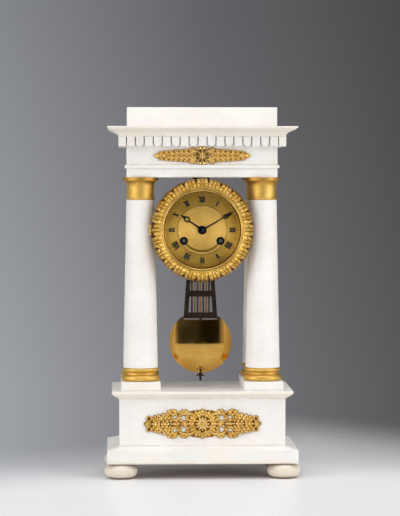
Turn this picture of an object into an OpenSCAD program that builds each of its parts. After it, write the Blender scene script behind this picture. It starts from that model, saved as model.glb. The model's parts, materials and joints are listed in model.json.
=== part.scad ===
// Portico clock: a white marble temple front on a base, with a drum clock and a gridiron pendulum.
// Frame: X to the right, Y to the back, Z up, origin under the middle of the feet. Millimetres.

/* [Columns] */
// Distance of each column axis from the edge of the bezel, across the front
col_gap = 12.5; // [12:0.5:32]
// Distance of each column axis from the middle, front to back
col_y = 35; // [33:0.5:50]
// Diameter of a shaft at its top
shaft_top_d = 36.4; // [28:0.2:37]
// Diameter of a shaft at its foot
shaft_foot_d = 45; // [38:0.5:46]
// Height of a shaft
shaft_h = 219; // [212:1:280]
// Bore through each shaft, capital and base for its tie rod
shaft_bore = 9; // [8:0.5:14]
// Height of a gilt capital
capital_h = 29.5; // [24:0.5:40]
// Diameter of the round top of a capital
capital_d = 46.4; // [42:0.2:50]
// Height of a gilt column base
ring_h = 17.5; // [12:0.5:24]
// Diameter of the lower torus of a column base
ring_d = 50.5; // [47:0.5:51]
// Side of a square column plinth
block_w = 51; // [50:0.5:56]
// Height of a square column plinth
block_h = 11.5; // [8:0.5:18]

/* [Base] */
// Diameter of a bun foot
foot_d = 43.4; // [32:0.2:48]
// Height of a bun foot
foot_h = 20; // [14:0.5:28]
// How far a foot's centre stands outside its column axis, both ways
foot_over = 26; // [18:0.5:28]
// How far the plinth reaches beyond the column axes
plinth_over = 44; // [40:0.5:50]
// Height of the upright part of the plinth
plinth_h = 17; // [14:0.5:30]
// Height of the plinth's sloped top
plinth_slope_h = 4.5; // [2:0.5:8]
// How far the base die reaches beyond the column axes
die_over = 28; // [26:0.5:34]
// Height of the base die
die_h = 61.5; // [50:0.5:90]
// Wall of the hollow base die
die_wall = 18; // [10:0.5:20]
// How far the base cap reaches beyond the column axes
cap_over = 37.7; // [35:0.1:42]
// Height of the base cap
cap_h = 10.5; // [9:0.5:18]
// Height of the plain edge at the top of the base cap
cap_edge_h = 3.2; // [2:0.2:5]

/* [Entablature] */
// How far the architrave and frieze reach beyond the column axes
ent_over = 18; // [15:0.5:21]
// Height of the architrave
arch_h = 12; // [11:0.5:20]
// Height of the fillet on the architrave
fillet_h = 4; // [2:0.2:6]
// How far the fillet stands out from the architrave
fillet_out = 2.3; // [1:0.1:4]
// Height of the frieze, with the part behind the dentils
frieze_h = 36.5; // [30:0.5:50]
// Wall of the hollow frieze
frieze_wall = 10; // [6:0.5:11.5]
// Height of the dentils
dentil_h = 12.2; // [8:0.2:14]
// How far the dentils stand out from the frieze
dentil_out = 10.6; // [7:0.2:13]
// Width of a square dentil
dentil_w = 10.2; // [8:0.2:10.8]
// Width of a round tongue between two dentils
tongue_w = 10; // [8:0.2:10.4]
// Square dentils from the middle of the front to its end
dentil_front_n = 4; // [3:1:4]
// Square dentils from the middle of a side to its end
dentil_side_n = 2; // [1:1:2]
// Height of the flat band over the dentils
fascia_h = 3.5; // [2:0.5:6]
// Height of the cornice moulding over the flat band
cornice_h = 10; // [8:0.5:16]
// How far the cornice reaches beyond the column axes
cornice_over = 43; // [38:0.5:48]
// Height of the thin edge at the top of the cornice
cornice_edge_h = 1.8; // [1:0.2:3]
// Height of the attic block
attic_h = 25; // [15:0.5:40]
// How far the attic block reaches beyond the column axes
attic_over = 17.5; // [10:0.5:25]

/* [Tie rods] */
// Diameter of a tie rod and of a hanger stud
rod_d = 6; // [5:0.5:7]
// Width across the flats of a nut
nut_w = 10; // [9:0.5:12]
// Height of a nut
nut_h = 5; // [3:0.5:6]

/* [Clock drum] */
// Outside diameter of the drum
drum_d = 108; // [107:0.5:112]
// Wall of the drum
drum_wall = 2; // [1:0.25:2.5]
// Length of the drum from front to back
drum_len = 88; // [87:0.5:100]
// Gap between the bezel and the architrave
bezel_gap = 1; // [0.5:0.1:10]
// Width of the hanger
hanger_w = 21; // [14:0.5:30]
// How far the bezel reaches beyond the drum
bezel_over = 13.5; // [12:0.25:15]
// How far the edge of the bezel's opening lies inside the drum
sight_in = 3.65; // [3:0.05:9]
// Depth of the bezel from its back to its crest
bezel_depth = 12.5; // [11:0.5:13]
// Number of leaves round the bezel
leaf_count = 24; // [16:2:36]
// Thickness of the glass
glass_t = 1.6; // [1:0.1:2.2]
// Thickness of the dial
dial_t = 1.2; // [0.8:0.1:1.4]
// Thickness of the rear cover
cover_t = 2; // [1:0.25:3]

/* [Hands] */
// Length of the minute hand from its centre to its tip
minute_len = 46; // [38:0.5:48]
// Length of the hour hand from its centre to its tip
hour_len = 35.6; // [28:0.5:37]
// Angle of the minute hand at rest, clockwise from the top
minute_at = 60; // [0:1:359]
// Angle of the hour hand at rest, clockwise from the top
hour_at = 305; // [0:1:359]
// Thickness of a hand
hand_t = 0.7; // [0.4:0.1:0.9]

/* [Movement] */
// Distance of the movement plates' edge inside the drum's bore
plate_in = 4; // [3:0.25:4.5]
// Thickness of the movement plates
plate_t = 2.5; // [1.5:0.25:3]
// Distance between the movement plates
plate_gap = 38; // [36:0.5:42]
// Distance of each winding arbor from the middle, sideways, in a drum of the usual size
wind_x = 23.8; // [22.6:0.1:24]
// Distance of each winding arbor below the middle, in a drum of the usual size
wind_drop = 14.2; // [13:0.1:15]
// Diameter of the winding holes in the dial
wind_hole_d = 10.7; // [8:0.1:12]
// Side of the winding squares
wind_square = 4; // [3:0.1:4.4]
// Thickness of the train wheels
wheel_t = 1.3; // [0.8:0.1:1.6]

/* [Pendulum] */
// Height of the suspension above the middle of the dial, in a drum of the usual size
hang_up = 27.4; // [26.5:0.1:29]
// Height of the bob's middle above the top of the base
bob_up = 58.9; // [56:0.1:66]
// Diameter of the bob
bob_d = 82.8; // [60:0.2:88]
// Thickness of the bob at its middle
bob_t = 15; // [11:0.5:18]
// Distance of the pendulum's plane behind the back plate
pendulum_back = 7.5; // [6.5:0.5:8]
// Width of the gridiron at its foot
grid_w = 45; // [34:0.5:50]
// Gap between the gridiron and the underside of the drum
grid_gap = 7.8; // [5:0.1:14]
// Number of gridiron rods
grid_rods = 7; // [3:2:7]
// Diameter of a gridiron rod
grid_rod_d = 2.4; // [1.5:0.1:2.8]

/* [Hidden] */
$fn = 64;

// Clearances: pieces that are fixed together, pieces that run, and pieces that swing past each other
seat_gap = 0.1;
run_gap = 0.05;
free_gap = 0.4;
// A cut reaches this far past the faces that it opens
past = 1;

// Heights of the case, from the floor up
plinth_z = foot_h;
die_z = plinth_z + plinth_h + plinth_slope_h;
cap_z = die_z + die_h;
block_z = cap_z + cap_h;
ring_z = block_z + block_h;
shaft_z = ring_z + ring_h;
capital_z = shaft_z + shaft_h;
arch_z = capital_z + capital_h;
frieze_z = arch_z + arch_h + fillet_h;
cornice_z = frieze_z + frieze_h;
attic_z = cornice_z + fascia_h + cornice_h;

// Tie rods stand on the column axes, with a nut sunk under the plinth and one on the architrave
bezel_r = drum_d / 2 + bezel_over;
col_x = bezel_r + col_gap;
column_axes = [for (x = [-col_x, col_x], y = [-col_y, col_y]) [x, y]];
nut_sink = nut_h + 3;
rod_bore_d = rod_d + 1;

// The drum hangs from the architrave, with its flange just in front of the column axes
dial_z = arch_z - bezel_gap - bezel_r;
drum_ahead = 17;
drum_y = -(col_y + drum_ahead);
drum_back_y = drum_y + drum_len;
drum_bore_r = drum_d / 2 - drum_wall;
flange_t = 1.5;
column_r_at_dial = (shaft_foot_d + (shaft_top_d - shaft_foot_d) * (dial_z - shaft_z) / shaft_h) / 2;
flange_clear = 1.2;
flange_r = col_x - column_r_at_dial - flange_clear;
dial_seat_t = 2;
dial_y = drum_y + 1;
dial_r = drum_bore_r - seat_gap;

// Bezel: its back stands just in front of the flange, and its hinge is at the left of the dial
bezel_y = drum_y - free_gap;
sight_r = drum_d / 2 - sight_in;
knuckle_r = 1.6;
knuckle_h = 3.6;
pin_r = 0.7;
leaf_t = 1;
hinge_in = 0.2;
hinge_ahead = 3.6;
bezel_hinge = [-(bezel_r - hinge_in), bezel_y - hinge_ahead];
glass_ahead = 6;
glass_lap = 1.4;
glass_y = bezel_y - glass_ahead;
glass_r = sight_r + glass_lap;

// Rear cover and its hinge, at the right of the drum
cover_y = drum_back_y + free_gap;
cover_r = drum_d / 2;
cover_hinge_out = 2.5;
cover_hinge = [cover_r + cover_hinge_out, cover_y + cover_t / 2];

// Movement: the planes of its plates, and the planes of its wheels counted from the back plate
motion_space = 6.3;
plate_y = dial_y + dial_t + motion_space;
inner_y = plate_y + plate_t;
outer_y = inner_y + plate_gap;
back_y = outer_y + plate_t;
plate_r = drum_bore_r - plate_in;
// The train is drawn for plates of this radius, and grows and shrinks with them
drawn_plate_r = 48;
train_k = plate_r / drawn_plate_r;
level_step = 4;
level_first = 2.2;
function level_y(i) = outer_y - level_first - wheel_t - level_step * i;
arbor_r = 0.75;
pivot_r = 0.5;
end_shake = 0.3;

// Teeth: a wheel tooth is long and slim, a pinion leaf is short, and both leave room to run
wheel_form = [0.9, 1.2, 0.42, 0.16, 0.52];
pinion_form = [0.65, 1.25, 0.36, 0.20, 0.40];

// Tooth counts and modules of the going train, the strike train and the motion work
great_n = 78;
second_leaves = 12;
great_m = 0.5 * train_k;
second_n = 72;
centre_leaves = 12;
second_m = 0.45 * train_k;
centre_n = 84;
third_leaves = 7;
centre_m = 0.38 * train_k;
third_n = 70;
escape_leaves = 7;
third_m = 0.36 * train_k;
escape_n = 36;
escape_r = 10.8 * train_k;
pin_leaves = 10;
pin_n = 60;
locking_leaves = 8;
pin_m = 0.4 * train_k;
locking_n = 48;
fly_leaves = 7;
locking_m = 0.35 * train_k;
cannon_n = 14;
minute_n = 42;
cannon_m = 0.5 * train_k;
minute_leaves = 10;
hour_n = 40;
hour_m = 0.56 * train_k;

// Distance between the axes of two toothed wheels that mesh
function mesh_dist(n1, n2, m) = (n1 + n2) * m / 2;
// Point at distance r1 from p and r2 from q, on the left (side 1) or right (side -1) of the line p to q
function meet(p, r1, q, r2, side) =
    let (d = norm(q - p), e = (q - p) / d, a = (r1 * r1 - r2 * r2 + d * d) / (2 * d))
    p + a * e + side * sqrt(r1 * r1 - a * a) * [-e[1], e[0]];
// Point at distance r from p in direction a
function off(p, r, a) = p + r * [cos(a), sin(a)];
// Direction from p to q, in degrees
function toward(p, q) = atan2(q[1] - p[1], q[0] - p[0]);

// Places of the arbors, measured across from the middle of the dial
centre_at = [0, 0];
going_at = [wind_x, -wind_drop] * train_k;
strike_at = [-wind_x, -wind_drop] * train_k;
anchor_drop = 15 * train_k;
anchor_at = [0, hang_up * train_k];
escape_at = [0, anchor_at[1] - anchor_drop];
second_at = meet(going_at, mesh_dist(great_n, second_leaves, great_m),
    centre_at, mesh_dist(second_n, centre_leaves, second_m), 1);
third_at = meet(centre_at, mesh_dist(centre_n, third_leaves, centre_m),
    escape_at, mesh_dist(third_n, escape_leaves, third_m), -1);
strike_second_at = off(strike_at, mesh_dist(great_n, second_leaves, great_m), 80);
pin_at = off(strike_second_at, mesh_dist(second_n, pin_leaves, second_m), 90);
locking_at = off(pin_at, mesh_dist(pin_n, locking_leaves, pin_m), 200);
fly_at = off(locking_at, mesh_dist(locking_n, fly_leaves, locking_m), 215);
minute_at_stud = off(centre_at, mesh_dist(minute_n, cannon_n, cannon_m), 270);
hammer_at = [-40, 1] * train_k;
pillar_angles = [20, 78, 172, 250, 290];
pillar_ring = 42 * train_k;
pillar_at = [for (a = pillar_angles) off(centre_at, pillar_ring, a)];
pillar_r = 2.2;
strap_angles = [0, 180];

// Pendulum: its plane, its bob and its gridiron
pend_y = back_y + pendulum_back;
hang_z = dial_z + anchor_at[1];
bob_z = block_z + bob_up;
bob_notch = 10.1;
grid_foot_z = bob_z + bob_d / 2 - bob_notch;
grid_top_z = dial_z - drum_d / 2 - grid_gap;
grid_len = grid_top_z - grid_foot_z;
boss_r = 4.7;
boss_in = 3.9;
boss_z = bob_z - bob_d / 2 + boss_in;
screw_d = 3;
rating_nut_h = 2.6;
rating_nut_z = boss_z - boss_r - 0.3 - rating_nut_h;
screw_foot_z = rating_nut_z - 6.4;

// Bell behind the pendulum
bell_at = [0, -4] * train_k;
bell_r = 30 * train_k;
bell_y = pend_y + 8;
bell_h = 15;
bell_wall = 1.6;

// Colours
marble = [0.96, 0.94, 0.91];
gilt = [0.80, 0.62, 0.28];
brass = [0.76, 0.62, 0.30];
steel = [0.55, 0.56, 0.58];
blued = [0.10, 0.12, 0.22];
iron = [0.25, 0.24, 0.23];

// Points of an arc about c from angle a0 to a1
function arc(c, r, a0, a1, n = 12) = [for (i = [0:n]) c + r * [cos(a0 + (a1 - a0) * i / n),
    sin(a0 + (a1 - a0) * i / n)]];
// S-shaped moulding from (overhang, height) a to b
function cyma(a, b, n = 8) = [for (i = [0:n]) [a[0] + (b[0] - a[0]) * (1 - cos(180 * i / n)) / 2,
    a[1] + (b[1] - a[1]) * i / n]];
// A moulding's outline on both sides of the middle, at a column axis distance c
function both_sides(profile, c) = concat([for (p = profile) [c + p[0], p[1]]],
    [for (i = [len(profile) - 1:-1:0]) [-c - profile[i][0], profile[i][1]]]);
// Outline of a toothed wheel: root, pitch and tip points of each tooth, tooth 0 on the X axis
function tooth_outline(n, m, form) =
    let (rp = n * m / 2, p = 360 / n)
    [for (i = [0:n - 1], s = [[rp - form[1] * m, -form[4]], [rp, -form[2]], [rp + form[0] * m, -form[3]],
        [rp + form[0] * m, form[3]], [rp, form[2]], [rp - form[1] * m, form[4]]])
        s[0] * [cos((i + s[1] / 2) * p), sin((i + s[1] / 2) * p)]];

// A rectangular course with the given (overhang, height) profile, mitred at its corners
module course(profile) {
    reach = 2 * (col_x + plinth_over + 50);
    intersection() {
        rotate([90, 0, 0]) linear_extrude(reach, center = true) polygon(both_sides(profile, col_x));
        rotate([90, 0, 90]) linear_extrude(reach, center = true) polygon(both_sides(profile, col_y));
    }
}
// A plain rectangular block over the column axes
module block(over, z, h) {
    translate([-col_x - over, -col_y - over, z]) cube([2 * (col_x + over), 2 * (col_y + over), h]);
}
// Children at each of the four column axes
module at_columns() {
    for (p = column_axes) translate([p[0], p[1], 0]) children();
}
// A flat piece in the plane of the dial, drawn across from its middle, between two depths
module across(y0, y1) {
    translate([0, y1, dial_z]) rotate([90, 0, 0]) linear_extrude(y1 - y0) children();
}
// A round bar from front to back at p
module bar(p, y0, y1, r) {
    translate([p[0], y1, dial_z + p[1]]) rotate([90, 0, 0]) cylinder(h = y1 - y0, r = r);
}
// A flat strip with round ends from a to b
module strip(a, b, w) {
    translate(a) rotate(toward(a, b)) translate([0, -w / 2]) square([norm(b - a), w]);
    translate(a) circle(w / 2);
    translate(b) circle(w / 2);
}
// A toothed wheel at p with a tooth (or, for a pinion, a gap) facing its mate
module wheel(p, n, m, mate, y0, y1) {
    across(y0, y1) translate(p) rotate(toward(p, mate)) polygon(tooth_outline(n, m, wheel_form));
}
module pinion(p, n, m, mate, y0, y1) {
    across(y0, y1) translate(p) rotate(toward(p, mate) + 180 / n) polygon(tooth_outline(n, m, pinion_form));
}
// Windows that leave four or more arms in a wheel
module crossings(p, r0, r1, arms, w, y0, y1) {
    across(y0 - past, y1 + past) translate(p) difference() {
        circle(r1);
        circle(r0);
        for (i = [0:arms - 1]) rotate(i * 360 / arms) translate([0, -w / 2]) square([r1 + past, w]);
    }
}
// An arbor between the plates, with a pivot in each
module arbor(p) {
    bar(p, inner_y + end_shake, outer_y - end_shake, arbor_r);
    bar(p, plate_y, back_y, pivot_r);
}
// Pinion and wheel levels reach this far to each side of a wheel
leaf_over = 1;
module pinion_at(p, n, m, mate, level) {
    pinion(p, n, m, mate, level_y(level) - leaf_over, level_y(level) + wheel_t + leaf_over);
}
// A crossed-out wheel on its level
hub_r = 3.2;
wheel_rim = 1.2;
wheel_arms = 5;
wheel_arm_w = 1.6;
module wheel_at(p, n, m, mate, level) {
    root_r = n * m / 2 - wheel_form[1] * m;
    difference() {
        wheel(p, n, m, mate, level_y(level), level_y(level) + wheel_t);
        crossings(p, hub_r, root_r - wheel_rim, wheel_arms, wheel_arm_w, level_y(level),
            level_y(level) + wheel_t);
    }
}

// Case, from the feet up
foot_round = 12;
module bun_feet() {
    color(marble) for (sx = [-1, 1], sy = [-1, 1])
        translate([sx * (col_x + foot_over), sy * (col_y + foot_over), 0]) rotate_extrude()
            polygon(concat([[0, 0]],
                [for (a = [-90:10:90]) [foot_d / 2 - foot_round + foot_round * cos(a),
                    foot_h / 2 + foot_h / 2 * sin(a)]],
                [[0, foot_h]]));
}

module rod_bores(z0, z1) {
    at_columns() translate([0, 0, z0 - past]) cylinder(h = z1 - z0 + 2 * past, d = rod_bore_d);
}

nut_recess_d = nut_w / cos(30) + 2;
module base_plinth() {
    color(marble) difference() {
        course([[plinth_over, plinth_z], [plinth_over, plinth_z + plinth_h], [die_over, die_z]]);
        rod_bores(plinth_z, die_z);
        at_columns() translate([0, 0, plinth_z - past]) cylinder(h = nut_sink + past, d = nut_recess_d);
    }
}

module base_die() {
    color(marble) difference() {
        block(die_over, die_z, die_h);
        block(die_over - die_wall, die_z - past, die_h + 2 * past);
        mount_pin_holes(base_pins, base_mount_z, -col_y - die_over);
    }
}

moulding_step = 1;
module base_cap() {
    edge_z = block_z - cap_edge_h;
    color(marble) difference() {
        course(concat([[die_over, cap_z]],
            cyma([die_over + moulding_step, cap_z], [cap_over - moulding_step, edge_z]),
            [[cap_over, edge_z], [cap_over, block_z]]));
        rod_bores(cap_z, block_z);
    }
}

module column_plinths() {
    color(marble) difference() {
        at_columns() translate([-block_w / 2, -block_w / 2, block_z]) cube([block_w, block_w, block_h]);
        rod_bores(block_z, ring_z);
    }
}

// Lower torus, scotia and upper torus of a column base
lower_torus_h = 8;
upper_torus_h = 5.2;
torus_inset = 1.6;
scotia_inset = 3.2;
module column_bases() {
    r = ring_d / 2;
    lower_r = lower_torus_h / 2;
    upper_r = upper_torus_h / 2;
    scotia_r = (ring_h - lower_torus_h - upper_torus_h) / 2;
    color(gilt) at_columns() translate([0, 0, ring_z]) rotate_extrude()
        polygon(concat([[shaft_bore / 2, 0]],
            arc([r - lower_r, lower_r], lower_r, -90, 90),
            arc([r - scotia_inset, lower_torus_h + scotia_r], scotia_r, 270, 90),
            arc([r - torus_inset - upper_r, ring_h - upper_r], upper_r, -90, 90),
            [[shaft_bore / 2, ring_h]]));
}

module column_shafts() {
    color(marble) at_columns() translate([0, 0, shaft_z]) difference() {
        cylinder(h = shaft_h, d1 = shaft_foot_d, d2 = shaft_top_d);
        translate([0, 0, -past]) cylinder(h = shaft_h + 2 * past, d = shaft_bore);
    }
}

// Capital: an astragal, a plain neck, a cavetto and a round abacus
astragal_h = 3;
neck_inset = 0.6;
abacus_h = 4.2;
cavetto_h = 8;
module capitals() {
    astragal_r = shaft_top_d / 2 + 0.6;
    neck_r = shaft_top_d / 2 - neck_inset;
    abacus_r = capital_d / 2;
    abacus_z = capital_h - abacus_h;
    lip = 0.8;
    color(gilt) at_columns() translate([0, 0, capital_z]) rotate_extrude()
        polygon(concat([[shaft_bore / 2, 0]],
            arc([astragal_r - astragal_h / 2, astragal_h / 2], astragal_h / 2, -90, 90, 8),
            [[neck_r, astragal_h], [neck_r, abacus_z - cavetto_h]],
            [for (a = [0:10:90]) [abacus_r - lip - (abacus_r - lip - neck_r) * cos(a),
                abacus_z - cavetto_h + cavetto_h * sin(a)]],
            [[abacus_r, abacus_z], [abacus_r, capital_h], [shaft_bore / 2, capital_h]]));
}

rod_end = 1.5;
module tie_rods() {
    z0 = plinth_z + nut_sink - nut_h - rod_end;
    z1 = frieze_z + nut_h + rod_end;
    color(iron) at_columns() translate([0, 0, z0]) cylinder(h = z1 - z0, d = rod_d);
}

module nut() {
    difference() {
        cylinder(h = nut_h, r = nut_w / 2 / cos(30), $fn = 6);
        translate([0, 0, -past]) cylinder(h = nut_h + 2 * past, d = rod_d + 2 * seat_gap);
    }
}
stud_y = 14;
module case_nuts() {
    color(iron) {
        at_columns() translate([0, 0, plinth_z + nut_sink - nut_h]) nut();
        at_columns() translate([0, 0, frieze_z]) nut();
        for (s = [-1, 1]) translate([0, s * stud_y, frieze_z]) nut();
    }
}

module architrave() {
    fillet_z = arch_z + arch_h;
    color(marble) difference() {
        course([[ent_over, arch_z], [ent_over, fillet_z], [ent_over + fillet_out, fillet_z],
            [ent_over + fillet_out, frieze_z]]);
        rod_bores(arch_z, frieze_z);
        for (s = [-1, 1]) translate([0, s * stud_y, arch_z - past])
            cylinder(h = frieze_z - arch_z + 2 * past, d = rod_bore_d);
    }
}

module frieze() {
    color(marble) difference() {
        block(ent_over, frieze_z, frieze_h);
        block(ent_over - frieze_wall, frieze_z - past, frieze_h + 2 * past);
        mount_pin_holes(frieze_pins, frieze_mount_z, -col_y - ent_over);
    }
}

// Dentils hang in a row from a thin backing band: square blocks, round tongues and corner blocks
dentil_band = 3;
dentil_gap = 1.2;
module dentil_row(half, n) {
    pitch = (half - dentil_w / 2) / n;
    drop = dentil_h - tongue_w / 2;
    for (i = [-n:n]) translate([i * pitch - dentil_w / 2, -dentil_h]) square([dentil_w, dentil_h]);
    for (i = [-n:n - 1]) translate([(i + 0.5) * pitch, 0]) {
        translate([-tongue_w / 2, -drop]) square([tongue_w, drop]);
        translate([0, -drop]) circle(tongue_w / 2);
    }
}
module dentil_course() {
    z0 = cornice_z - dentil_h;
    side = dentil_out - dentil_gap;
    color(marble) {
        difference() {
            block(ent_over + dentil_band, z0, dentil_h);
            block(ent_over, z0 - past, dentil_h + 2 * past);
        }
        for (a = [0, 180]) rotate(a) translate([0, -col_y - ent_over, cornice_z]) rotate([90, 0, 0])
            linear_extrude(dentil_out) dentil_row(col_x + ent_over, dentil_front_n);
        for (a = [90, 270]) rotate(a) translate([0, -col_x - ent_over, cornice_z]) rotate([90, 0, 0])
            linear_extrude(dentil_out) dentil_row(col_y + ent_over, dentil_side_n);
        for (sx = [-1, 1], sy = [-1, 1])
            translate([sx * (col_x + ent_over + dentil_gap + side / 2),
                sy * (col_y + ent_over + dentil_gap + side / 2), z0 + dentil_h / 2])
                cube([side, side, dentil_h], center = true);
    }
}

module cornice() {
    face = ent_over + dentil_out;
    edge_z = attic_z - cornice_edge_h;
    color(marble) course(concat([[face, cornice_z], [face, cornice_z + fascia_h]],
        cyma([face + moulding_step, cornice_z + fascia_h], [cornice_over - moulding_step, edge_z]),
        [[cornice_over, edge_z], [cornice_over, attic_z]]));
}

module attic_block() {
    color(marble) block(attic_over, attic_z, attic_h);
}

// Gilt mounts: a rosette between leafy wings, cast with pins at the back that enter the marble
mount_t = 2.4;
boss_t = 4.2;
mount_pin_r = 1;
mount_pin_len = 6;
// One part of a mount's drawing is 1 mm on a face of this half width and height
frieze_face = [98, 24.3];
die_face = [108, 61.5];
frieze_part = min((col_x + ent_over) / frieze_face[0], (frieze_h - dentil_h) / frieze_face[1]);
base_part = min((col_x + die_over) / die_face[0], die_h / die_face[1]);
frieze_mount_z = frieze_z + (frieze_h - dentil_h) / 2;
frieze_mount_w = 127 * frieze_part;
frieze_pins = [for (s = [-1, 1]) [s * 34 * frieze_part, 0]];
base_mount_z = die_z + die_h / 2 - 1.5;
base_mount_w = 152 * base_part;
base_pins = [for (s = [-1, 1]) [s * 48 * base_part, 0]];
module mount_pin_holes(pins, z, face_y) {
    for (p = pins) translate([p[0], face_y - past, z + p[1]]) rotate([-90, 0, 0])
        cylinder(h = mount_pin_len + past + seat_gap, r = mount_pin_r + seat_gap);
}
module mount_pins(pins, z, face_y) {
    for (p = pins) translate([p[0], face_y - mount_t / 2, z + p[1]]) rotate([-90, 0, 0])
        cylinder(h = mount_pin_len + mount_t / 2, r = mount_pin_r);
}
module on_face(z, face_y, t) {
    translate([0, face_y, z]) rotate([90, 0, 0]) linear_extrude(t) children();
}
// Round petals about a round centre, in parts of k
module rosette(n, ring, petal, centre, k) {
    circle(centre * k);
    for (i = [0:n - 1]) rotate(i * 360 / n) translate([ring * k, 0]) circle(petal * k);
}
// A wing of leaf lobes in pairs that shrink slowly outwards, with a pointed end leaf
wing_shrink = 0.34;
module leaf_wing(x0, x1, n, lobe) {
    end_leaf = 2.2 * lobe;
    step = (x1 - end_leaf - x0) / (n - 1);
    translate([0, -lobe / 2]) square([x1 - end_leaf, lobe]);
    for (i = [0:n - 1], s = [-1, 1]) let (r = lobe * (1 - wing_shrink * i * i / (n - 1) / (n - 1)))
        translate([x0 + i * step, s * r * 0.92]) circle(r);
    polygon([[x1 - end_leaf - lobe, -lobe * 0.8], [x1, 0], [x1 - end_leaf - lobe, lobe * 0.8]]);
}
// A lobe, or with a hole a pierced ring as a leaf scroll curls, on both sides of a mount's middle line
module scroll_pair(at, r, hole = 0) {
    for (s = [-1, 1]) translate([at[0], s * at[1]] * base_part) difference() {
        circle(r * base_part);
        if (hole > 0) circle(hole * base_part);
    }
}
module frieze_mount() {
    face_y = -col_y - ent_over;
    color(gilt) {
        on_face(frieze_mount_z, face_y, mount_t) {
            rosette(8, 7.9, 3.9, 8, frieze_part);
            for (m = [0, 1]) mirror([m, 0])
                leaf_wing(16 * frieze_part, frieze_mount_w / 2, 6, 4.5 * frieze_part);
        }
        on_face(frieze_mount_z, face_y, boss_t) circle(4 * frieze_part);
        mount_pins(frieze_pins, frieze_mount_z, face_y);
    }
}
module base_mount() {
    face_y = -col_y - die_over;
    end_x = base_mount_w / 2 / base_part;
    end_r = 5.4;
    stem_x = 14;
    stem_w = 5.2;
    color(gilt) {
        on_face(base_mount_z, face_y, mount_t) {
            rosette(16, 16.6, 4, 16, base_part);
            for (m = [0, 1]) mirror([m, 0]) {
                translate([stem_x, -stem_w / 2] * base_part)
                    square([end_x - stem_x - end_r, stem_w] * base_part);
                scroll_pair([24.5, 8.3], 8.1, 3.9);
                scroll_pair([36.6, 8.6], 6.9, 3.1);
                scroll_pair([23, 15.6], 4.4);
                scroll_pair([39.6, 15.2], 4.7);
                scroll_pair([47.4, 8.2], 7.2, 1.9);
                scroll_pair([56, 7.3], 6.3);
                scroll_pair([62.9, 6.7], 5.2);
                scroll_pair([end_x - 7.4, 6.2], 4.4, 1.8);
                translate([end_x - end_r, 0] * base_part) circle(end_r * base_part);
            }
        }
        on_face(base_mount_z, face_y, boss_t) rosette(12, 7, 2.4, 6.6, base_part);
        mount_pins(base_pins, base_mount_z, face_y);
    }
}

// Drum, hanger, bezel and rear cover
hinge_mid = 3;
hinge_gap = 0.3;
hinge_end = hinge_mid + hinge_gap + knuckle_h;
module hinge_bore(at) {
    translate([at[0], at[1], dial_z - hinge_end - past])
        cylinder(h = 2 * (hinge_end + past), r = pin_r + run_gap);
}
module outer_knuckles(at, r, grow = 0) {
    for (z = [-hinge_end, hinge_mid + hinge_gap]) translate([at[0], at[1], dial_z + z - grow])
        cylinder(h = knuckle_h + 2 * grow, r = r);
}
seat_ring_w = 2.5;
rear_ring_w = 4;
rear_ring_t = 2;
rear_ring_y = drum_back_y - 3;
slot_half_w = 12;
slot_half_d = 5;
module drum_ring(y0, y1, w) {
    difference() {
        bar(centre_at, y0, y1, drum_bore_r + drum_wall / 2);
        bar(centre_at, y0 - past, y1 + past, drum_bore_r - w);
    }
}
module bezel_bracket() {
    x0 = bezel_hinge[0] - knuckle_r;
    outer_knuckles(bezel_hinge, knuckle_r);
    for (z = [-hinge_end, hinge_mid + hinge_gap]) {
        translate([x0, bezel_hinge[1], dial_z + z]) cube([leaf_t, drum_y + leaf_t - bezel_hinge[1], knuckle_h]);
        translate([x0, drum_y, dial_z + z]) cube([-x0 - flange_r + 3, leaf_t, knuckle_h]);
    }
}
module cover_bracket() {
    outer_knuckles(cover_hinge, knuckle_r);
    for (z = [-hinge_end, hinge_mid + hinge_gap])
        translate([drum_d / 2 - drum_wall / 2, drum_back_y - 3, dial_z + z])
            cube([cover_hinge[0] - drum_d / 2 + drum_wall / 2, 3, knuckle_h]);
    for (z = [-hinge_end, hinge_mid + hinge_gap])
        translate([cover_hinge[0] - knuckle_r, drum_back_y - 3, dial_z + z])
            cube([2 * knuckle_r, cover_hinge[1] - drum_back_y + 3, knuckle_h]);
}
module drum_case() {
    color(brass) difference() {
        union() {
            difference() {
                union() {
                    bar(centre_at, drum_y, drum_back_y, drum_d / 2);
                    bar(centre_at, drum_y, drum_y + flange_t, flange_r);
                }
                bar(centre_at, drum_y - past, drum_back_y + past, drum_bore_r);
            }
            drum_ring(dial_y + dial_t, dial_y + dial_t + dial_seat_t, seat_ring_w);
            drum_ring(rear_ring_y, rear_ring_y + rear_ring_t, rear_ring_w);
            bezel_bracket();
            cover_bracket();
        }
        hinge_bore(bezel_hinge);
        hinge_bore(cover_hinge);
        translate([-slot_half_w, pend_y - slot_half_d, dial_z - drum_d / 2 - past])
            cube([2 * slot_half_w, 2 * slot_half_d, drum_d / 4]);
    }
}

hanger_len = 48;
module drum_hanger() {
    z0 = dial_z + drum_d / 2 - 3;
    color(iron) {
        difference() {
            translate([-hanger_w / 2, -hanger_len / 2, z0]) cube([hanger_w, hanger_len, arch_z - z0]);
            bar(centre_at, drum_y, drum_back_y, drum_d / 2 + seat_gap);
        }
        for (s = [-1, 1]) translate([0, s * stud_y, arch_z - 1])
            cylinder(h = frieze_z + nut_h + rod_end - arch_z + 1, d = rod_d);
    }
}

// Bezel section, as (radius, distance forward of its back): a swelling leaf band and a sight ring
rim_h = 3.6;
swell_w = 6;
ring_w = 2.2;
ring_groove = 1.4;
sight_front = 9.6;
lip_t = 0.9;
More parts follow.
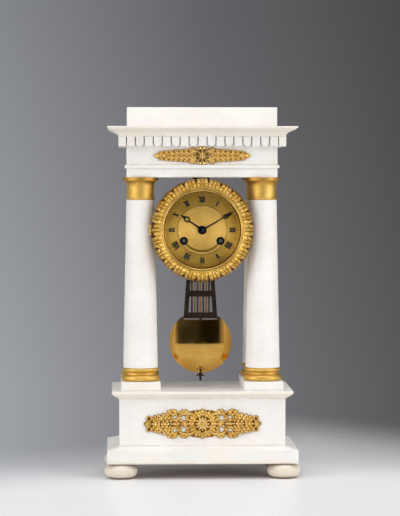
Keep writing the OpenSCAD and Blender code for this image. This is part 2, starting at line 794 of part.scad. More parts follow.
// Leaves of the band: a gap opens between two tips at the rim, and a groove runs inwards from it
leaf_gap_w = 1.6;
leaf_gap_len = 3.4;
groove_w = 1.4;
groove_deep = 1;
module leaf_cut(band_in) {
    gap_x = bezel_r - leaf_gap_len;
    translate([gap_x, 0, -past]) linear_extrude(bezel_depth + 2 * past) {
        circle(leaf_gap_w / 2);
        translate([0, -leaf_gap_w / 2]) square([leaf_gap_len + past, leaf_gap_w]);
    }
    translate([0, 0, bezel_depth - groove_deep]) rotate([90, 0, 90]) translate([0, 0, band_in])
        linear_extrude(gap_x - band_in) polygon([[0, 0], [groove_w, 2 * groove_deep], [-groove_w, 2 * groove_deep]]);
}
module bezel() {
    glass_d = bezel_y - glass_y;
    seat_r = glass_r + seat_gap;
    seat_d = glass_d + glass_t + seat_gap;
    ring_r = sight_r + ring_w;
    band_in = ring_r + 2 * ring_groove;
    swell = [for (a = [0:10:90]) [bezel_r - swell_w + swell_w * cos(a),
        rim_h + (bezel_depth - rim_h) * sin(a)]];
    color(gilt) difference() {
        union() {
            translate([0, bezel_y, dial_z]) rotate([90, 0, 0]) difference() {
                rotate_extrude($fn = 96) polygon(concat([[seat_r, 0], [bezel_r, 0]], swell,
                    [[band_in, sight_front + groove_deep], [ring_r + ring_groove, sight_front - ring_groove],
                    [ring_r, sight_front], [sight_r + lip_t, sight_front],
                    [sight_r, seat_d + lip_t], [sight_r, seat_d], [seat_r, seat_d]]));
                for (i = [0:leaf_count - 1]) rotate((i + 0.5) * 360 / leaf_count) leaf_cut(band_in);
            }
            translate([bezel_hinge[0], bezel_hinge[1], dial_z - hinge_mid])
                cylinder(h = 2 * hinge_mid, r = knuckle_r);
        }
        outer_knuckles(bezel_hinge, knuckle_r + free_gap, hinge_gap);
        hinge_bore(bezel_hinge);
    }
}

module bezel_glass() {
    color([0.85, 0.9, 0.92, 0.3]) bar(centre_at, glass_y - glass_t, glass_y, glass_r);
}

module hinge_pins() {
    color(steel) for (at = [bezel_hinge, cover_hinge]) translate([at[0], at[1], dial_z - hinge_end])
        cylinder(h = 2 * hinge_end, r = pin_r);
}

knob_at = [14 - cover_r, 0];
knob_len = 6;
knob_t = 3;
knob_r = 3.4;
knob_neck_r = 2;
cover_lug = 4;
module rear_cover() {
    knob_y = cover_y + cover_t + knob_len;
    color(brass) difference() {
        union() {
            bar(centre_at, cover_y, cover_y + cover_t, cover_r);
            bar(knob_at, cover_y, knob_y - past, knob_neck_r);
            bar(knob_at, knob_y - knob_t, knob_y, knob_r);
            translate([cover_r - cover_lug, cover_y, dial_z - hinge_mid])
                cube([cover_hinge[0] - cover_r + cover_lug, cover_t, 2 * hinge_mid]);
            translate([cover_hinge[0], cover_hinge[1], dial_z - hinge_mid])
                cylinder(h = 2 * hinge_mid, r = knuckle_r);
        }
        hinge_bore(cover_hinge);
    }
}

// Dial, hands and motion work
pipe_r = 2.8;
cannon_r = 1.8;
centre_r = 1;
hour_hand_y = dial_y - 0.9;
minute_hand_y = hour_hand_y - hand_t - 1.1;
hand_nut_y = minute_hand_y - hand_t;
dial_foot_ring = 42 * train_k;
dial_foot_r = 1.6;
module dial() {
    color(gilt) {
        difference() {
            bar(centre_at, dial_y, dial_y + dial_t, dial_r);
            bar(centre_at, dial_y - past, dial_y + dial_t + past, pipe_r + 0.5);
            for (p = [going_at, strike_at])
                bar(p, dial_y - past, dial_y + dial_t + past, wind_hole_d / 2);
        }
        for (a = [90, 210, 330]) bar(off(centre_at, dial_foot_ring, a), dial_y + dial_t, plate_y, dial_foot_r);
    }
}

// A hand drawn upright: boss, tapering stem, ring and pointed tip
module hand_shape(length, ring_at, ring_d, boss_r, stem_w) {
    ring_r = ring_d / 2;
    circle(boss_r);
    polygon([[-stem_w, 0], [stem_w, 0], [stem_w / 2, ring_at - ring_r * 0.8], [-stem_w / 2, ring_at - ring_r * 0.8]]);
    difference() {
        translate([0, ring_at]) circle(ring_r);
        translate([0, ring_at]) circle(ring_r * 0.6);
    }
    polygon([[-ring_r * 0.5, ring_at + ring_r * 0.8], [ring_r * 0.5, ring_at + ring_r * 0.8], [0, length]]);
}
module hand(at, y, shape_bore) {
    difference() {
        across(y - hand_t, y) rotate(-at) children();
        bar(centre_at, y - hand_t - past, y + past, shape_bore + seat_gap);
    }
}
hour_tip = 11.3;
hour_ring_d = 7.9;
hour_boss_r = 5.7;
hour_stem = 1.5;
module hour_hand() {
    color(blued) hand(hour_at, hour_hand_y, pipe_r)
        hand_shape(hour_len, hour_len - hour_tip, hour_ring_d, hour_boss_r, hour_stem);
}
minute_tip = 10.1;
minute_ring_d = 6.5;
minute_boss_r = 4.6;
minute_stem = 1.2;
module minute_hand() {
    color(blued) hand(minute_at, minute_hand_y, cannon_r)
        hand_shape(minute_len, minute_len - minute_tip, minute_ring_d, minute_boss_r, minute_stem);
}
hand_nut_t = 1.2;
hand_nut_r = 2.8;
module hand_nut() {
    color(blued) difference() {
        bar(centre_at, hand_nut_y - hand_nut_t, hand_nut_y, hand_nut_r);
        bar(centre_at, hand_nut_y - hand_nut_t - past, hand_nut_y + past, centre_r + run_gap);
    }
}

// The motion work stands in two planes between the dial and the front plate
cannon_y = plate_y - 1.5;
hour_wheel_y = dial_y + dial_t + 1.2;
module cannon_pinion() {
    color(steel) difference() {
        union() {
            pinion(centre_at, cannon_n, cannon_m, minute_at_stud, cannon_y - 1.6, cannon_y);
            bar(centre_at, hand_nut_y, plate_y - end_shake, cannon_r);
        }
        bar(centre_at, hand_nut_y - past, plate_y + past, centre_r + run_gap);
    }
}
module minute_wheel() {
    color(brass) difference() {
        union() {
            wheel(minute_at_stud, minute_n, cannon_m, centre_at, cannon_y - 1.4, cannon_y - 0.2);
            pinion(minute_at_stud, minute_leaves, hour_m, centre_at, hour_wheel_y - 0.4, cannon_y - 1);
        }
        bar(minute_at_stud, dial_y, plate_y + past, stud_r + run_gap);
    }
}
stud_r = 1;
module hour_wheel() {
    color(brass) difference() {
        union() {
            wheel(centre_at, hour_n, hour_m, minute_at_stud, hour_wheel_y, hour_wheel_y + 1.2);
            bar(centre_at, hour_hand_y - hand_t, hour_wheel_y + 1.2, pipe_r);
        }
        bar(centre_at, minute_hand_y, plate_y, cannon_r + run_gap);
    }
}

// Plates, pillars and straps
train_at = [second_at, third_at, escape_at, strike_second_at, pin_at, locking_at, fly_at, hammer_at];
barrel_arbor_r = 2.6;
barrel_pivot_r = 1.5;
module plate(y) {
    bar(centre_at, y, y + plate_t, plate_r);
}
module holes(points, y, r) {
    for (p = points) bar(p, y - past, y + plate_t + past, r + run_gap);
}
module front_plate() {
    color(brass) {
        difference() {
            plate(plate_y);
            holes(concat(train_at, [anchor_at]), plate_y, pivot_r);
            holes([centre_at], plate_y, centre_r);
            holes([going_at, strike_at], plate_y, barrel_arbor_r);
        }
        bar(minute_at_stud, hour_wheel_y - 0.6, plate_y, stud_r);
    }
}
hammer_arbor_r = 1.2;
anchor_window_r = 2.4;
module back_plate() {
    color(brass) difference() {
        plate(outer_y);
        holes([second_at, third_at, escape_at, pin_at, locking_at, fly_at, centre_at], outer_y, pivot_r);
        holes([strike_second_at], outer_y, arbor_r);
        holes([hammer_at], outer_y, hammer_arbor_r);
        holes([anchor_at], outer_y, anchor_window_r);
        holes([going_at, strike_at], outer_y, barrel_pivot_r);
    }
}
module plate_pillars() {
    color(brass) for (p = pillar_at) {
        bar(p, inner_y, outer_y, pillar_r);
        bar(p, inner_y, inner_y + 3, pillar_r + 1);
        bar(p, outer_y - 3, outer_y, pillar_r + 1);
    }
}
strap_t = 1.5;
strap_w = 8;
module movement_straps() {
    color(steel) for (a = strap_angles) translate([0, plate_y, dial_z]) rotate([0, a, 0])
        translate([plate_r + seat_gap, 0, -strap_w / 2]) cube([strap_t, rear_ring_y - plate_y, strap_w]);
}

// Barrels and winding arbors
barrel_r = 17.4 * train_k;
barrel_lid = 0.6;
ratchet_r = 7.5 * train_k;
ratchet_n = 20;
ratchet_y = plate_y - 2;
ratchet_t = 1.3;
// A ring of hooked teeth
module hooked_teeth(n, r, depth) {
    polygon([for (i = [0:n - 1], s = [[r - depth, 0.05], [r, 0.85], [r, 0.95], [r - depth, 1]])
        s[0] * [cos((i + s[1]) * 360 / n), sin((i + s[1]) * 360 / n)]]);
}
module barrel(p, mate) {
    y1 = level_y(4);
    color(brass) difference() {
        union() {
            bar(p, inner_y + barrel_lid, y1, barrel_r);
            wheel(p, great_n, great_m, mate, y1, y1 + wheel_t);
        }
        bar(p, plate_y, back_y, barrel_arbor_r + run_gap);
    }
}
module going_barrel() {
    barrel(going_at, second_at);
}
module strike_barrel() {
    barrel(strike_at, strike_second_at);
}
module winding_arbor(p) {
    tip_y = dial_y + 0.2;
    round_end = level_y(4) + wheel_t + 1;
    color(steel) {
        across(tip_y, ratchet_y) translate(p) square(wind_square, center = true);
        across(ratchet_y, ratchet_y + ratchet_t) translate(p) hooked_teeth(ratchet_n, ratchet_r, 1.2);
        bar(p, ratchet_y, round_end, barrel_arbor_r);
        bar(p, round_end, back_y, barrel_pivot_r);
    }
}
module going_arbor() {
    winding_arbor(going_at);
}
module strike_arbor() {
    winding_arbor(strike_at);
}
click_w = 2;
click_foot = ratchet_r + 4.5;
click_tip = ratchet_r + 1.5;
click_stud_r = 0.7;
module clicks() {
    color(steel) for (m = [0, 1]) mirror([m, 0, 0]) {
        foot = off(going_at, click_foot, -70);
        across(ratchet_y, ratchet_y + ratchet_t) strip(foot, off(going_at, click_tip, -20), click_w);
        bar(foot, ratchet_y, plate_y, click_stud_r);
    }
}

// Going train
module going_second_wheel() {
    color(brass) {
        arbor(second_at);
        pinion_at(second_at, second_leaves, great_m, going_at, 4);
        wheel_at(second_at, second_n, second_m, centre_at, 3);
    }
}
module centre_wheel() {
    color(brass) {
        bar(centre_at, hand_nut_y - 2, outer_y - end_shake, centre_r);
        bar(centre_at, outer_y - past, back_y, pivot_r);
        pinion_at(centre_at, centre_leaves, second_m, second_at, 3);
        wheel_at(centre_at, centre_n, centre_m, third_at, 2);
    }
}
module third_wheel() {
    color(brass) {
        arbor(third_at);
        pinion_at(third_at, third_leaves, centre_m, centre_at, 2);
        wheel_at(third_at, third_n, third_m, escape_at, 1);
    }
}
module escape_wheel() {
    y = level_y(0);
    color(brass) {
        arbor(escape_at);
        pinion_at(escape_at, escape_leaves, third_m, third_at, 1);
        difference() {
            across(y, y + wheel_t) translate(escape_at) hooked_teeth(escape_n, escape_r, 1.5);
            crossings(escape_at, 2.4, escape_r - 2.6, 5, 1.3, y, y + wheel_t);
        }
    }
}

// Escapement, suspension and pendulum
crutch_y = back_y + 0.8;
crutch_t = 1.2;
crutch_foot = [0, -6];
cock_y = back_y + 3.2;
cock_t = 1.8;
hook_w = 3;
hook_t = 2.4;
pallet_r = 0.8;
// The pallets stand clear of the wheel's teeth over the whole swing
pallet_clear = 1.1;
pallet_spread = 50;
module anchor() {
    y = level_y(0);
    reach = escape_r + pallet_r + pallet_clear;
    prong_x = hook_w / 2 + free_gap;
    color(steel) {
        bar(anchor_at, inner_y + end_shake, cock_y - end_shake, arbor_r);
        bar(anchor_at, plate_y, cock_y + cock_t, pivot_r);
        across(y, y + wheel_t) {
            translate(anchor_at) circle(2.6);
            for (s = [-1, 1]) strip(anchor_at, escape_at + reach * [s * sin(pallet_spread), cos(pallet_spread)],
                2 * pallet_r);
        }
        across(crutch_y, crutch_y + crutch_t) {
            strip(anchor_at, crutch_foot, 2.4);
            translate(anchor_at) circle(2.2);
            translate(crutch_foot) square([2 * prong_x + 2.4, 2.4], center = true);
        }
        for (s = [-1, 1]) translate([s * (prong_x + 0.6) - 0.6, crutch_y, dial_z + crutch_foot[1] - 1.2])
            cube([1.2, pend_y + 2 - crutch_y, 2.4]);
    }
}
cock_foot = anchor_at + [16, 6] * train_k;
spring_h = 5;
spring_w = 4;
spring_t = 0.2;
spring_low = 0.2;
chop_w = 6;
module back_cock() {
    post_z = hang_z + 3;
    color(brass) difference() {
        union() {
            across(cock_y, cock_y + cock_t) {
                strip([-cock_foot[0], cock_foot[1]], cock_foot, 7);
                strip(anchor_at, [0, cock_foot[1]], 7);
            }
            for (s = [-1, 1]) bar([s * cock_foot[0], cock_foot[1]], back_y, cock_y, 3);
            translate([-chop_w / 2, cock_y, post_z])
                cube([chop_w, pend_y + spring_w / 2 + 0.8 - cock_y, 6]);
        }
        bar(anchor_at, cock_y - past, cock_y + cock_t + past, pivot_r + run_gap);
        translate([-spring_t / 2 - seat_gap, pend_y - spring_w / 2 - seat_gap, post_z - past])
            cube([spring_t + 2 * seat_gap, spring_w + 2 * seat_gap, spring_h - 3 + past + seat_gap]);
    }
}
module suspension_spring() {
    color(steel) translate([-spring_t / 2, pend_y - spring_w / 2, hang_z + spring_low])
        cube([spring_t, spring_w, spring_h - spring_low]);
}

// Gridiron: an iron frame with round shoulders and three bars, and upright rods through the bars
grid_t = 3.4;
grid_side = 6;
grid_taper = 3.5;
grid_bar = 8;
grid_round = 9;
grid_mid_up = (grid_len - grid_bar) / 2 + 4.5;
rod_pitch = 3.8;
rod_list = [for (i = [-(grid_rods - 1) / 2:(grid_rods - 1) / 2]) i * rod_pitch];
function grid_half(up) = grid_w / 2 - grid_taper * up / grid_len;
// Upright slot between two heights over the grid's foot, tapering with the frame's sides
module grid_window(up0, up1) {
    polygon([[-grid_half(up0) + grid_side, up0], [grid_half(up0) - grid_side, up0],
        [grid_half(up1) - grid_side, up1], [-grid_half(up1) + grid_side, up1]]);
}
module pendulum_frame() {
    foot_v = grid_foot_z - dial_z;
    top_half = grid_half(grid_len);
    shoulder = arc([top_half - grid_round, grid_len - grid_round], grid_round, 0, 90);
    color(iron) {
        difference() {
            across(pend_y - grid_t / 2, pend_y + grid_t / 2) translate([0, foot_v]) difference() {
                polygon(concat([[-grid_half(0), 0], [grid_half(0), 0]], shoulder,
                    [for (i = [len(shoulder) - 1:-1:0]) [-shoulder[i][0], shoulder[i][1]]]));
                grid_window(grid_bar, grid_mid_up);
                grid_window(grid_mid_up + grid_bar, grid_len - grid_bar);
            }
            for (x = rod_list) translate([x, pend_y, grid_foot_z + 1])
                cylinder(h = grid_len - 3, d = grid_rod_d + 2 * seat_gap);
        }
        translate([-hook_w / 2, pend_y - hook_t / 2, grid_top_z - 1])
            cube([hook_w, hook_t, hang_z - spring_low - grid_top_z + 1 - 4]);
        translate([-2, pend_y - spring_w / 2, hang_z - spring_low - 5]) cube([4, spring_w, 5]);
        translate([0, pend_y, screw_foot_z]) cylinder(h = grid_foot_z + 0.5 - screw_foot_z, d = screw_d);
    }
}
module pendulum_rods() {
    color(brass) for (x = rod_list) translate([x, pend_y, grid_foot_z + 1 + seat_gap])
        cylinder(h = grid_len - 3 - 2 * seat_gap, d = grid_rod_d);
}

// Bob: a convex lens with a thin edge, a notch for the grid's foot and a round boss at its lower edge
bob_edge = 1;
bob_travel = 1;
module pendulum_bob() {
    rise = (bob_t - bob_edge) / 2;
    lens_r = (bob_d * bob_d / 4 + rise * rise) / (2 * rise);
    edge_a = asin(bob_d / 2 / lens_r);
    color(brass) difference() {
        union() {
            translate([0, pend_y, bob_z]) rotate([90, 0, 0]) rotate_extrude($fn = 128)
                polygon(concat(arc([0, bob_t / 2 - lens_r], lens_r, 90 - edge_a, 90),
                    arc([0, lens_r - bob_t / 2], lens_r, -90, edge_a - 90)));
            translate([0, pend_y, boss_z]) rotate_extrude() polygon(arc([0, 0], boss_r, -90, 90, 18));
        }
        translate([-grid_w / 2 - free_gap, pend_y - bob_t, grid_foot_z - bob_travel - free_gap])
            cube([grid_w + 2 * free_gap, 2 * bob_t, bob_d]);
        translate([0, pend_y, bob_z - bob_d]) cylinder(h = 2 * bob_d, d = screw_d + 2 * run_gap);
    }
}
nut_points = 8;
nut_star_r = 5.2;
nut_star_t = 1.6;
nut_notch_r = 1.3;
nut_neck_r = 2.6;
module rating_nut() {
    color(iron) translate([0, pend_y, rating_nut_z]) difference() {
        union() {
            linear_extrude(nut_star_t) difference() {
                circle(nut_star_r);
                for (i = [0:nut_points - 1]) rotate(i * 360 / nut_points) translate([nut_star_r + 0.2, 0])
                    circle(nut_notch_r);
            }
            cylinder(h = rating_nut_h, r = nut_neck_r);
        }
        translate([0, 0, -past]) cylinder(h = rating_nut_h + 2 * past, d = screw_d + 2 * run_gap);
    }
}

// Strike train, hammer and bell
module strike_second_wheel() {
    color(brass) {
        arbor(strike_second_at);
        bar(strike_second_at, outer_y - 2 * past, back_y + 2.6, arbor_r);
        pinion_at(strike_second_at, second_leaves, great_m, strike_at, 4);
        wheel_at(strike_second_at, second_n, second_m, pin_at, 3);
    }
}
count_r = 14.4 * train_k;
count_y = back_y + 0.7;
// Blows counted from one to twelve set the places of the notches round the count wheel
function blows(h) = h * (h + 1) / 2 + h;
module count_wheel() {
    color(brass) difference() {
        across(count_y, count_y + wheel_t) translate(strike_second_at) difference() {
            circle(count_r);
            for (h = [1:12]) rotate(360 * blows(h) / blows(12)) translate([count_r, 0])
                square([3.6, 1.5], center = true);
        }
        bar(strike_second_at, count_y - past, count_y + wheel_t + past, arbor_r + seat_gap);
    }
}
lift_pins = 10;
lift_ring = pin_n * pin_m / 2 - 1.1;
module pin_wheel() {
    y = level_y(2) + wheel_t;
    color(brass) {
        arbor(pin_at);
        pinion_at(pin_at, pin_leaves, second_m, strike_second_at, 3);
        wheel_at(pin_at, pin_n, pin_m, locking_at, 2);
        for (i = [0:lift_pins - 1]) bar(off(pin_at, lift_ring, i * 360 / lift_pins), y - 0.5, y + 1.6, 0.5);
    }
}
module locking_wheel() {
    color(brass) {
        arbor(locking_at);
        pinion_at(locking_at, locking_leaves, pin_m, pin_at, 2);
        wheel_at(locking_at, locking_n, locking_m, fly_at, 1);
    }
}
vane_w = 10 * train_k;
vane_t = 0.8;
module fly() {
    color(brass) {
        arbor(fly_at);
        pinion_at(fly_at, fly_leaves, locking_m, locking_at, 1);
        across(inner_y + 2, level_y(4)) translate(fly_at) square([vane_w, vane_t], center = true);
        bar(fly_at, inner_y + 2, level_y(4), 1.2);
    }
}
head_at = [-31.4, -16] * train_k;
head_r = 3;
arm_y = bell_y + 2;
module hammer() {
    tail_y = level_y(2) + wheel_t + 0.2;
    away = hammer_at - pin_at;
    color(steel) {
        bar(hammer_at, inner_y + end_shake, outer_y - end_shake, hammer_arbor_r);
        bar(hammer_at, plate_y, inner_y + past, pivot_r);
        bar(hammer_at, outer_y - past, arm_y + 2, hammer_arbor_r);
        across(tail_y, tail_y + 1.1) strip(hammer_at, pin_at + away / norm(away) * (lift_ring + 1.9), 1.8);
        across(arm_y, arm_y + 2) strip(hammer_at, head_at, 2.4);
        bar(head_at, arm_y - 1.5, arm_y + 5, head_r);
    }
}
module bell() {
    color(brass) translate([bell_at[0], bell_y, dial_z + bell_at[1]]) rotate([-90, 0, 0]) rotate_extrude()
        polygon(concat([for (a = [0:6:84]) [bell_r * cos(a), bell_h * sin(a)]], [[bell_stud_r + seat_gap, bell_h]],
            [[bell_stud_r + seat_gap, bell_h - bell_wall]],
            [for (a = [84:-6:0]) [(bell_r - bell_wall) * cos(a), (bell_h - bell_wall) * sin(a)]]));
}
bell_stud_r = 1.5;
standard_at = [34, -24] * train_k;
module bell_standard() {
    arm_back = bell_y + bell_h + seat_gap;
    color(steel) {
        bar(standard_at, back_y, arm_back + 2, 2.2);
        across(arm_back, arm_back + 2) strip(standard_at, bell_at, 5);
        bar(bell_at, bell_y + bell_h - bell_wall - 2.4, arm_back + 1, bell_stud_r);
        bar(bell_at, bell_y + bell_h - bell_wall - 2.4, bell_y + bell_h - bell_wall - seat_gap, 3);
    }
}

bun_feet();
base_plinth();
base_die();
base_cap();
column_plinths();
column_bases();
column_shafts();
capitals();
tie_rods();
case_nuts();
architrave();
frieze();
dentil_course();
cornice();
attic_block();
frieze_mount();
base_mount();
drum_case();
drum_hanger();
bezel();
bezel_glass();
hinge_pins();
dial();
hour_hand();
minute_hand();
hand_nut();
cannon_pinion();
minute_wheel();
hour_wheel();
front_plate();
back_plate();
plate_pillars();
movement_straps();
going_barrel();
going_arbor();
strike_barrel();
strike_arbor();
clicks();
going_second_wheel();
centre_wheel();
third_wheel();
escape_wheel();
anchor();
back_cock();
suspension_spring();
pendulum_frame();
pendulum_rods();
pendulum_bob();
rating_nut();
strike_second_wheel();
pin_wheel();
locking_wheel();
fly();
count_wheel();
hammer();
bell();
bell_standard();
rear_cover();
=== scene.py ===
# Portico clock: the looks of its marble, gilding, dial, hands and pendulum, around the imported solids.
# Lengths in the shape functions are millimetres, and MM turns them into the frame's metres.
import json

import bmesh
import bpy
import numpy as np
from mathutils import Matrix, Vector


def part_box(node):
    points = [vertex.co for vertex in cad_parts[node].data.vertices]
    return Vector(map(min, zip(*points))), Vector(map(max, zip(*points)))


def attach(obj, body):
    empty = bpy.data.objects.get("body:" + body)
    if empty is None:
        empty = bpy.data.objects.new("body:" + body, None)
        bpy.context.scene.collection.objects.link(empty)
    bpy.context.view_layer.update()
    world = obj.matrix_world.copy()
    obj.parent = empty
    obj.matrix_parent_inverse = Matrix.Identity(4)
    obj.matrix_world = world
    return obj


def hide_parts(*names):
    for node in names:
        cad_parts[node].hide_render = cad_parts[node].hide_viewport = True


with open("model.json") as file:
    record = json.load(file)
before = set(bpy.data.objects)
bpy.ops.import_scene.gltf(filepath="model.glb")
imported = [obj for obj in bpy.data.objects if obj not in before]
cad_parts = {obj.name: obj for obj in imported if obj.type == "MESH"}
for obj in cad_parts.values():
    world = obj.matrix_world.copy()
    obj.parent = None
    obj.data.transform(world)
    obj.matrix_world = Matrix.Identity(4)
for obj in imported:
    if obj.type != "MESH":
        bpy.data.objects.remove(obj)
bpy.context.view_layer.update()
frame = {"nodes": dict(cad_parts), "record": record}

MM = 0.001
FULL_TURN = 2 * np.pi


# Places taken from the frame, in millimetres

def box_mm(node):
    """Lowest and highest corner of a node at rest, in millimetres."""
    lo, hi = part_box(node)
    return np.array(lo) / MM, np.array(hi) / MM


dial_lo, dial_hi = box_mm("dial")
dial_mid = (dial_lo + dial_hi) / 2
dial_front = dial_lo[1]
bezel_lo, bezel_hi = box_mm("bezel")
bezel_back = bezel_hi[1]
bezel_r = (bezel_hi[2] - bezel_lo[2]) / 2
bezel_depth = bezel_hi[1] - bezel_lo[1]
bob_lo, bob_hi = box_mm("pendulum_bob")
grid_lo, grid_hi = box_mm("pendulum_frame")
frieze_front = box_mm("frieze")[0][1]
die_front = box_mm("base_die")[0][1]
foot_top = box_mm("bun_feet")[1][2]
capital_top = box_mm("capitals")[1][2]


# Meshes

MERGE_DISTANCE = 1e-7
SHARP_ANGLE = np.radians(50)
PLAIN_LIFT = 0.7
CASTING_SUNK = 0.4


def mesh_object(name, points, faces, values=None, smooth=True):
    """An object at the origin from points in millimetres and faces as lists of corners; values become point
    attributes. A smooth one has its doubles merged, and stays sharp where faces meet above SHARP_ANGLE."""
    mesh = bpy.data.meshes.new(name)
    mesh.from_pydata((points * MM).tolist(), [], faces)
    for key, value in (values or {}).items():
        layer = mesh.attributes.new(key, "FLOAT", "POINT")
        layer.data.foreach_set("value", np.ascontiguousarray(value, np.float32).ravel())
    made = bmesh.new()
    made.from_mesh(mesh)
    if smooth:
        bmesh.ops.remove_doubles(made, verts=made.verts, dist=MERGE_DISTANCE)
    bmesh.ops.recalc_face_normals(made, faces=made.faces)
    made.to_mesh(mesh)
    made.free()
    if smooth:
        mesh.polygons.foreach_set("use_smooth", np.ones(len(mesh.polygons), bool))
        mesh.set_sharp_from_angle(angle=SHARP_ANGLE)
    obj = bpy.data.objects.new(name, mesh)
    bpy.context.scene.collection.objects.link(obj)
    return obj


def grid_faces(nu, nv, wrap_u=False, wrap_v=False):
    """Quads between neighbours of an nu by nv grid of points; wrap joins the last line to the first."""
    steps_u = np.arange(nu if wrap_u else nu - 1)
    steps_v = np.arange(nv if wrap_v else nv - 1)
    u, v = np.meshgrid(steps_u, steps_v, indexing="ij")
    next_u, next_v = (u + 1) % nu, (v + 1) % nv
    corners = [u * nv + v, next_u * nv + v, next_u * nv + next_v, u * nv + next_v]
    return np.stack(corners, -1).reshape(-1, 4).tolist()


def surface(name, points, wrap_u=False, wrap_v=False, values=None):
    """The surface through points[u, v]."""
    nu, nv = points.shape[:2]
    return mesh_object(name, points.reshape(-1, 3), grid_faces(nu, nv, wrap_u, wrap_v), values)


def turned(name, profile, at, axis, steps=32):
    """A solid turned about an axis through a point: profile[(radius, distance along the axis)], which starts
    and ends on the axis or comes back to its start."""
    radius, along = np.array(profile, float).T
    r, a = np.meshgrid(radius, np.linspace(0, FULL_TURN, steps, endpoint=False))
    first, second = (k for k in range(3) if k != axis)
    points = np.empty((*r.shape, 3))
    points[..., first] = at[first] + r * np.cos(a)
    points[..., second] = at[second] + r * np.sin(a)
    points[..., axis] = at[axis] + along
    return surface(name, points, wrap_u=True, values={"lift": np.full(r.shape, PLAIN_LIFT)})


def prisms(name, front, depth):
    """Closed prisms with flat faces: front[n, corner] outlines the fronts, and the backs lie depth behind."""
    count, corners = front.shape[:2]
    points = np.concatenate([front, front + np.array([0, depth, 0])], 1).reshape(-1, 3)
    start = np.arange(count)[:, None] * 2 * corners
    ring = np.arange(corners)
    after = (ring + 1) % corners
    fronts, backs = start + ring, start + corners + ring[::-1]
    walls = np.stack([ring, ring + corners, after + corners, after], -1)[None] + start[:, :, None]
    faces = fronts.tolist() + backs.tolist() + walls.reshape(-1, 4).tolist()
    return mesh_object(name, points, faces, smooth=False)


def relief(name, x, z, height, middle, face_y, full):
    """A casting on an upright face: y = face_y - height(x, z), kept where it stands out of the face and
    closed by a flat back sunk into the face. Its lift is the height as a share of full; the gilt finish
    paints shade and highlight by it."""
    out = height > 0
    kept = out[:-1, :-1] | out[1:, :-1] | out[1:, 1:] | out[:-1, 1:]
    index = np.arange(x.size).reshape(x.shape)
    corners = np.stack([index[:-1, :-1], index[1:, :-1], index[1:, 1:], index[:-1, 1:]], -1)
    front = corners[kept]
    framed = np.pad(kept, 1)
    beside = [framed[1:-1, :-2], framed[2:, 1:-1], framed[1:-1, 2:], framed[:-2, 1:-1]]
    rims = np.concatenate([corners[kept & ~other][:, [k, (k + 1) % 4]] for k, other in enumerate(beside)])
    back = x.size
    walls = np.stack([rims[:, 0], rims[:, 0] + back, rims[:, 1] + back, rims[:, 1]], -1)
    faces = np.concatenate([front, front[:, ::-1] + back, walls])
    px, pz = x + middle[0], z + middle[1]
    carved = np.stack([px, face_y - np.maximum(height, -0.5 * CASTING_SUNK), pz], -1)
    flat = np.stack([px, np.full_like(px, face_y + CASTING_SUNK), pz], -1)
    points = np.concatenate([carved.reshape(-1, 3), flat.reshape(-1, 3)])
    lift = np.concatenate([np.clip(height / full, 0, 1).ravel(), np.zeros(back)])
    used, faces = np.unique(faces, return_inverse=True)
    return mesh_object(name, points[used], faces.reshape(-1, 4).tolist(), {"lift": lift[used]})


# Heights of carved forms

PETAL_GROOVE = 0.3
LOBE_TURN = 0.4


def highest(*heights):
    """The upper envelope of several heights."""
    return np.maximum.reduce(heights)


def ridge(value, at, width):
    """A smooth ridge of height 1: exp(-((value - at) / width)^2)."""
    return np.exp(-(((value - at) / width) ** 2))


def dome(distance, radius, height):
    """height * sqrt(1 - (distance / radius)^2) inside radius, and a slope down outside it."""
    share = distance / radius
    return np.where(share < 1, height * np.sqrt(np.maximum(0, 1 - share**2)), (1 - share) * height)


def bud(x, z, at, radius, height):
    """A round dome about a point."""
    return dome(np.hypot(x - at[0], z - at[1]), radius, height)


def ring_bead(x, z, at, radius, width, height):
    """A round bead bent into a ring: the dome of the distance from the ring's middle line."""
    return dome(np.abs(np.hypot(x - at[0], z - at[1]) - radius), width, height)


def leafy_ring(x, z, at, radius, width, height):
    """A ring bead whose width and height swell and shrink seven times round it."""
    wave = np.cos(7 * np.arctan2(z - at[1], x - at[0]))
    return ring_bead(x, z, at, radius, width * (1 + 0.25 * wave), height) * (0.85 + 0.15 * wave)


def lobe(x, z, at, size, height, veins):
    """A leaf lobe: an oval dome whose height is cut by veins that fan out from its root."""
    dx, dz = x - at[0], z - at[1]
    distance = np.hypot(dx / size[0], dz / size[1])
    fan = np.cos(veins * (np.arctan2(dz, dx) - LOBE_TURN))
    return dome(distance, 1.0, height) * (0.8 + 0.2 * fan)


def petals(x, z, count, r0, r1, width, height, turn=0.0):
    """A ring of petals: across a petal the height falls as a parabola, along it as a half sine, and a groove
    runs down its middle."""
    radius = np.hypot(x, z)
    pitch = FULL_TURN / count
    angle = (np.arctan2(z, x) - turn + pitch / 2) % pitch - pitch / 2
    along = (radius - r0) / (r1 - r0)
    half = width * np.sqrt(np.maximum(1e-4, np.sin(np.pi * np.clip(along, 0.02, 0.98) ** 0.8)))
    across = radius * angle / half
    shape = height * (1 - across**2) * (0.75 + 0.25 * np.sin(np.pi * np.clip(along, 0, 1)))
    shape = shape - PETAL_GROOVE * height * ridge(radius * angle, 0, 0.22 * width)
    return np.where((along > 0) & (along < 1), shape, -height * np.maximum(-along, along - 1))


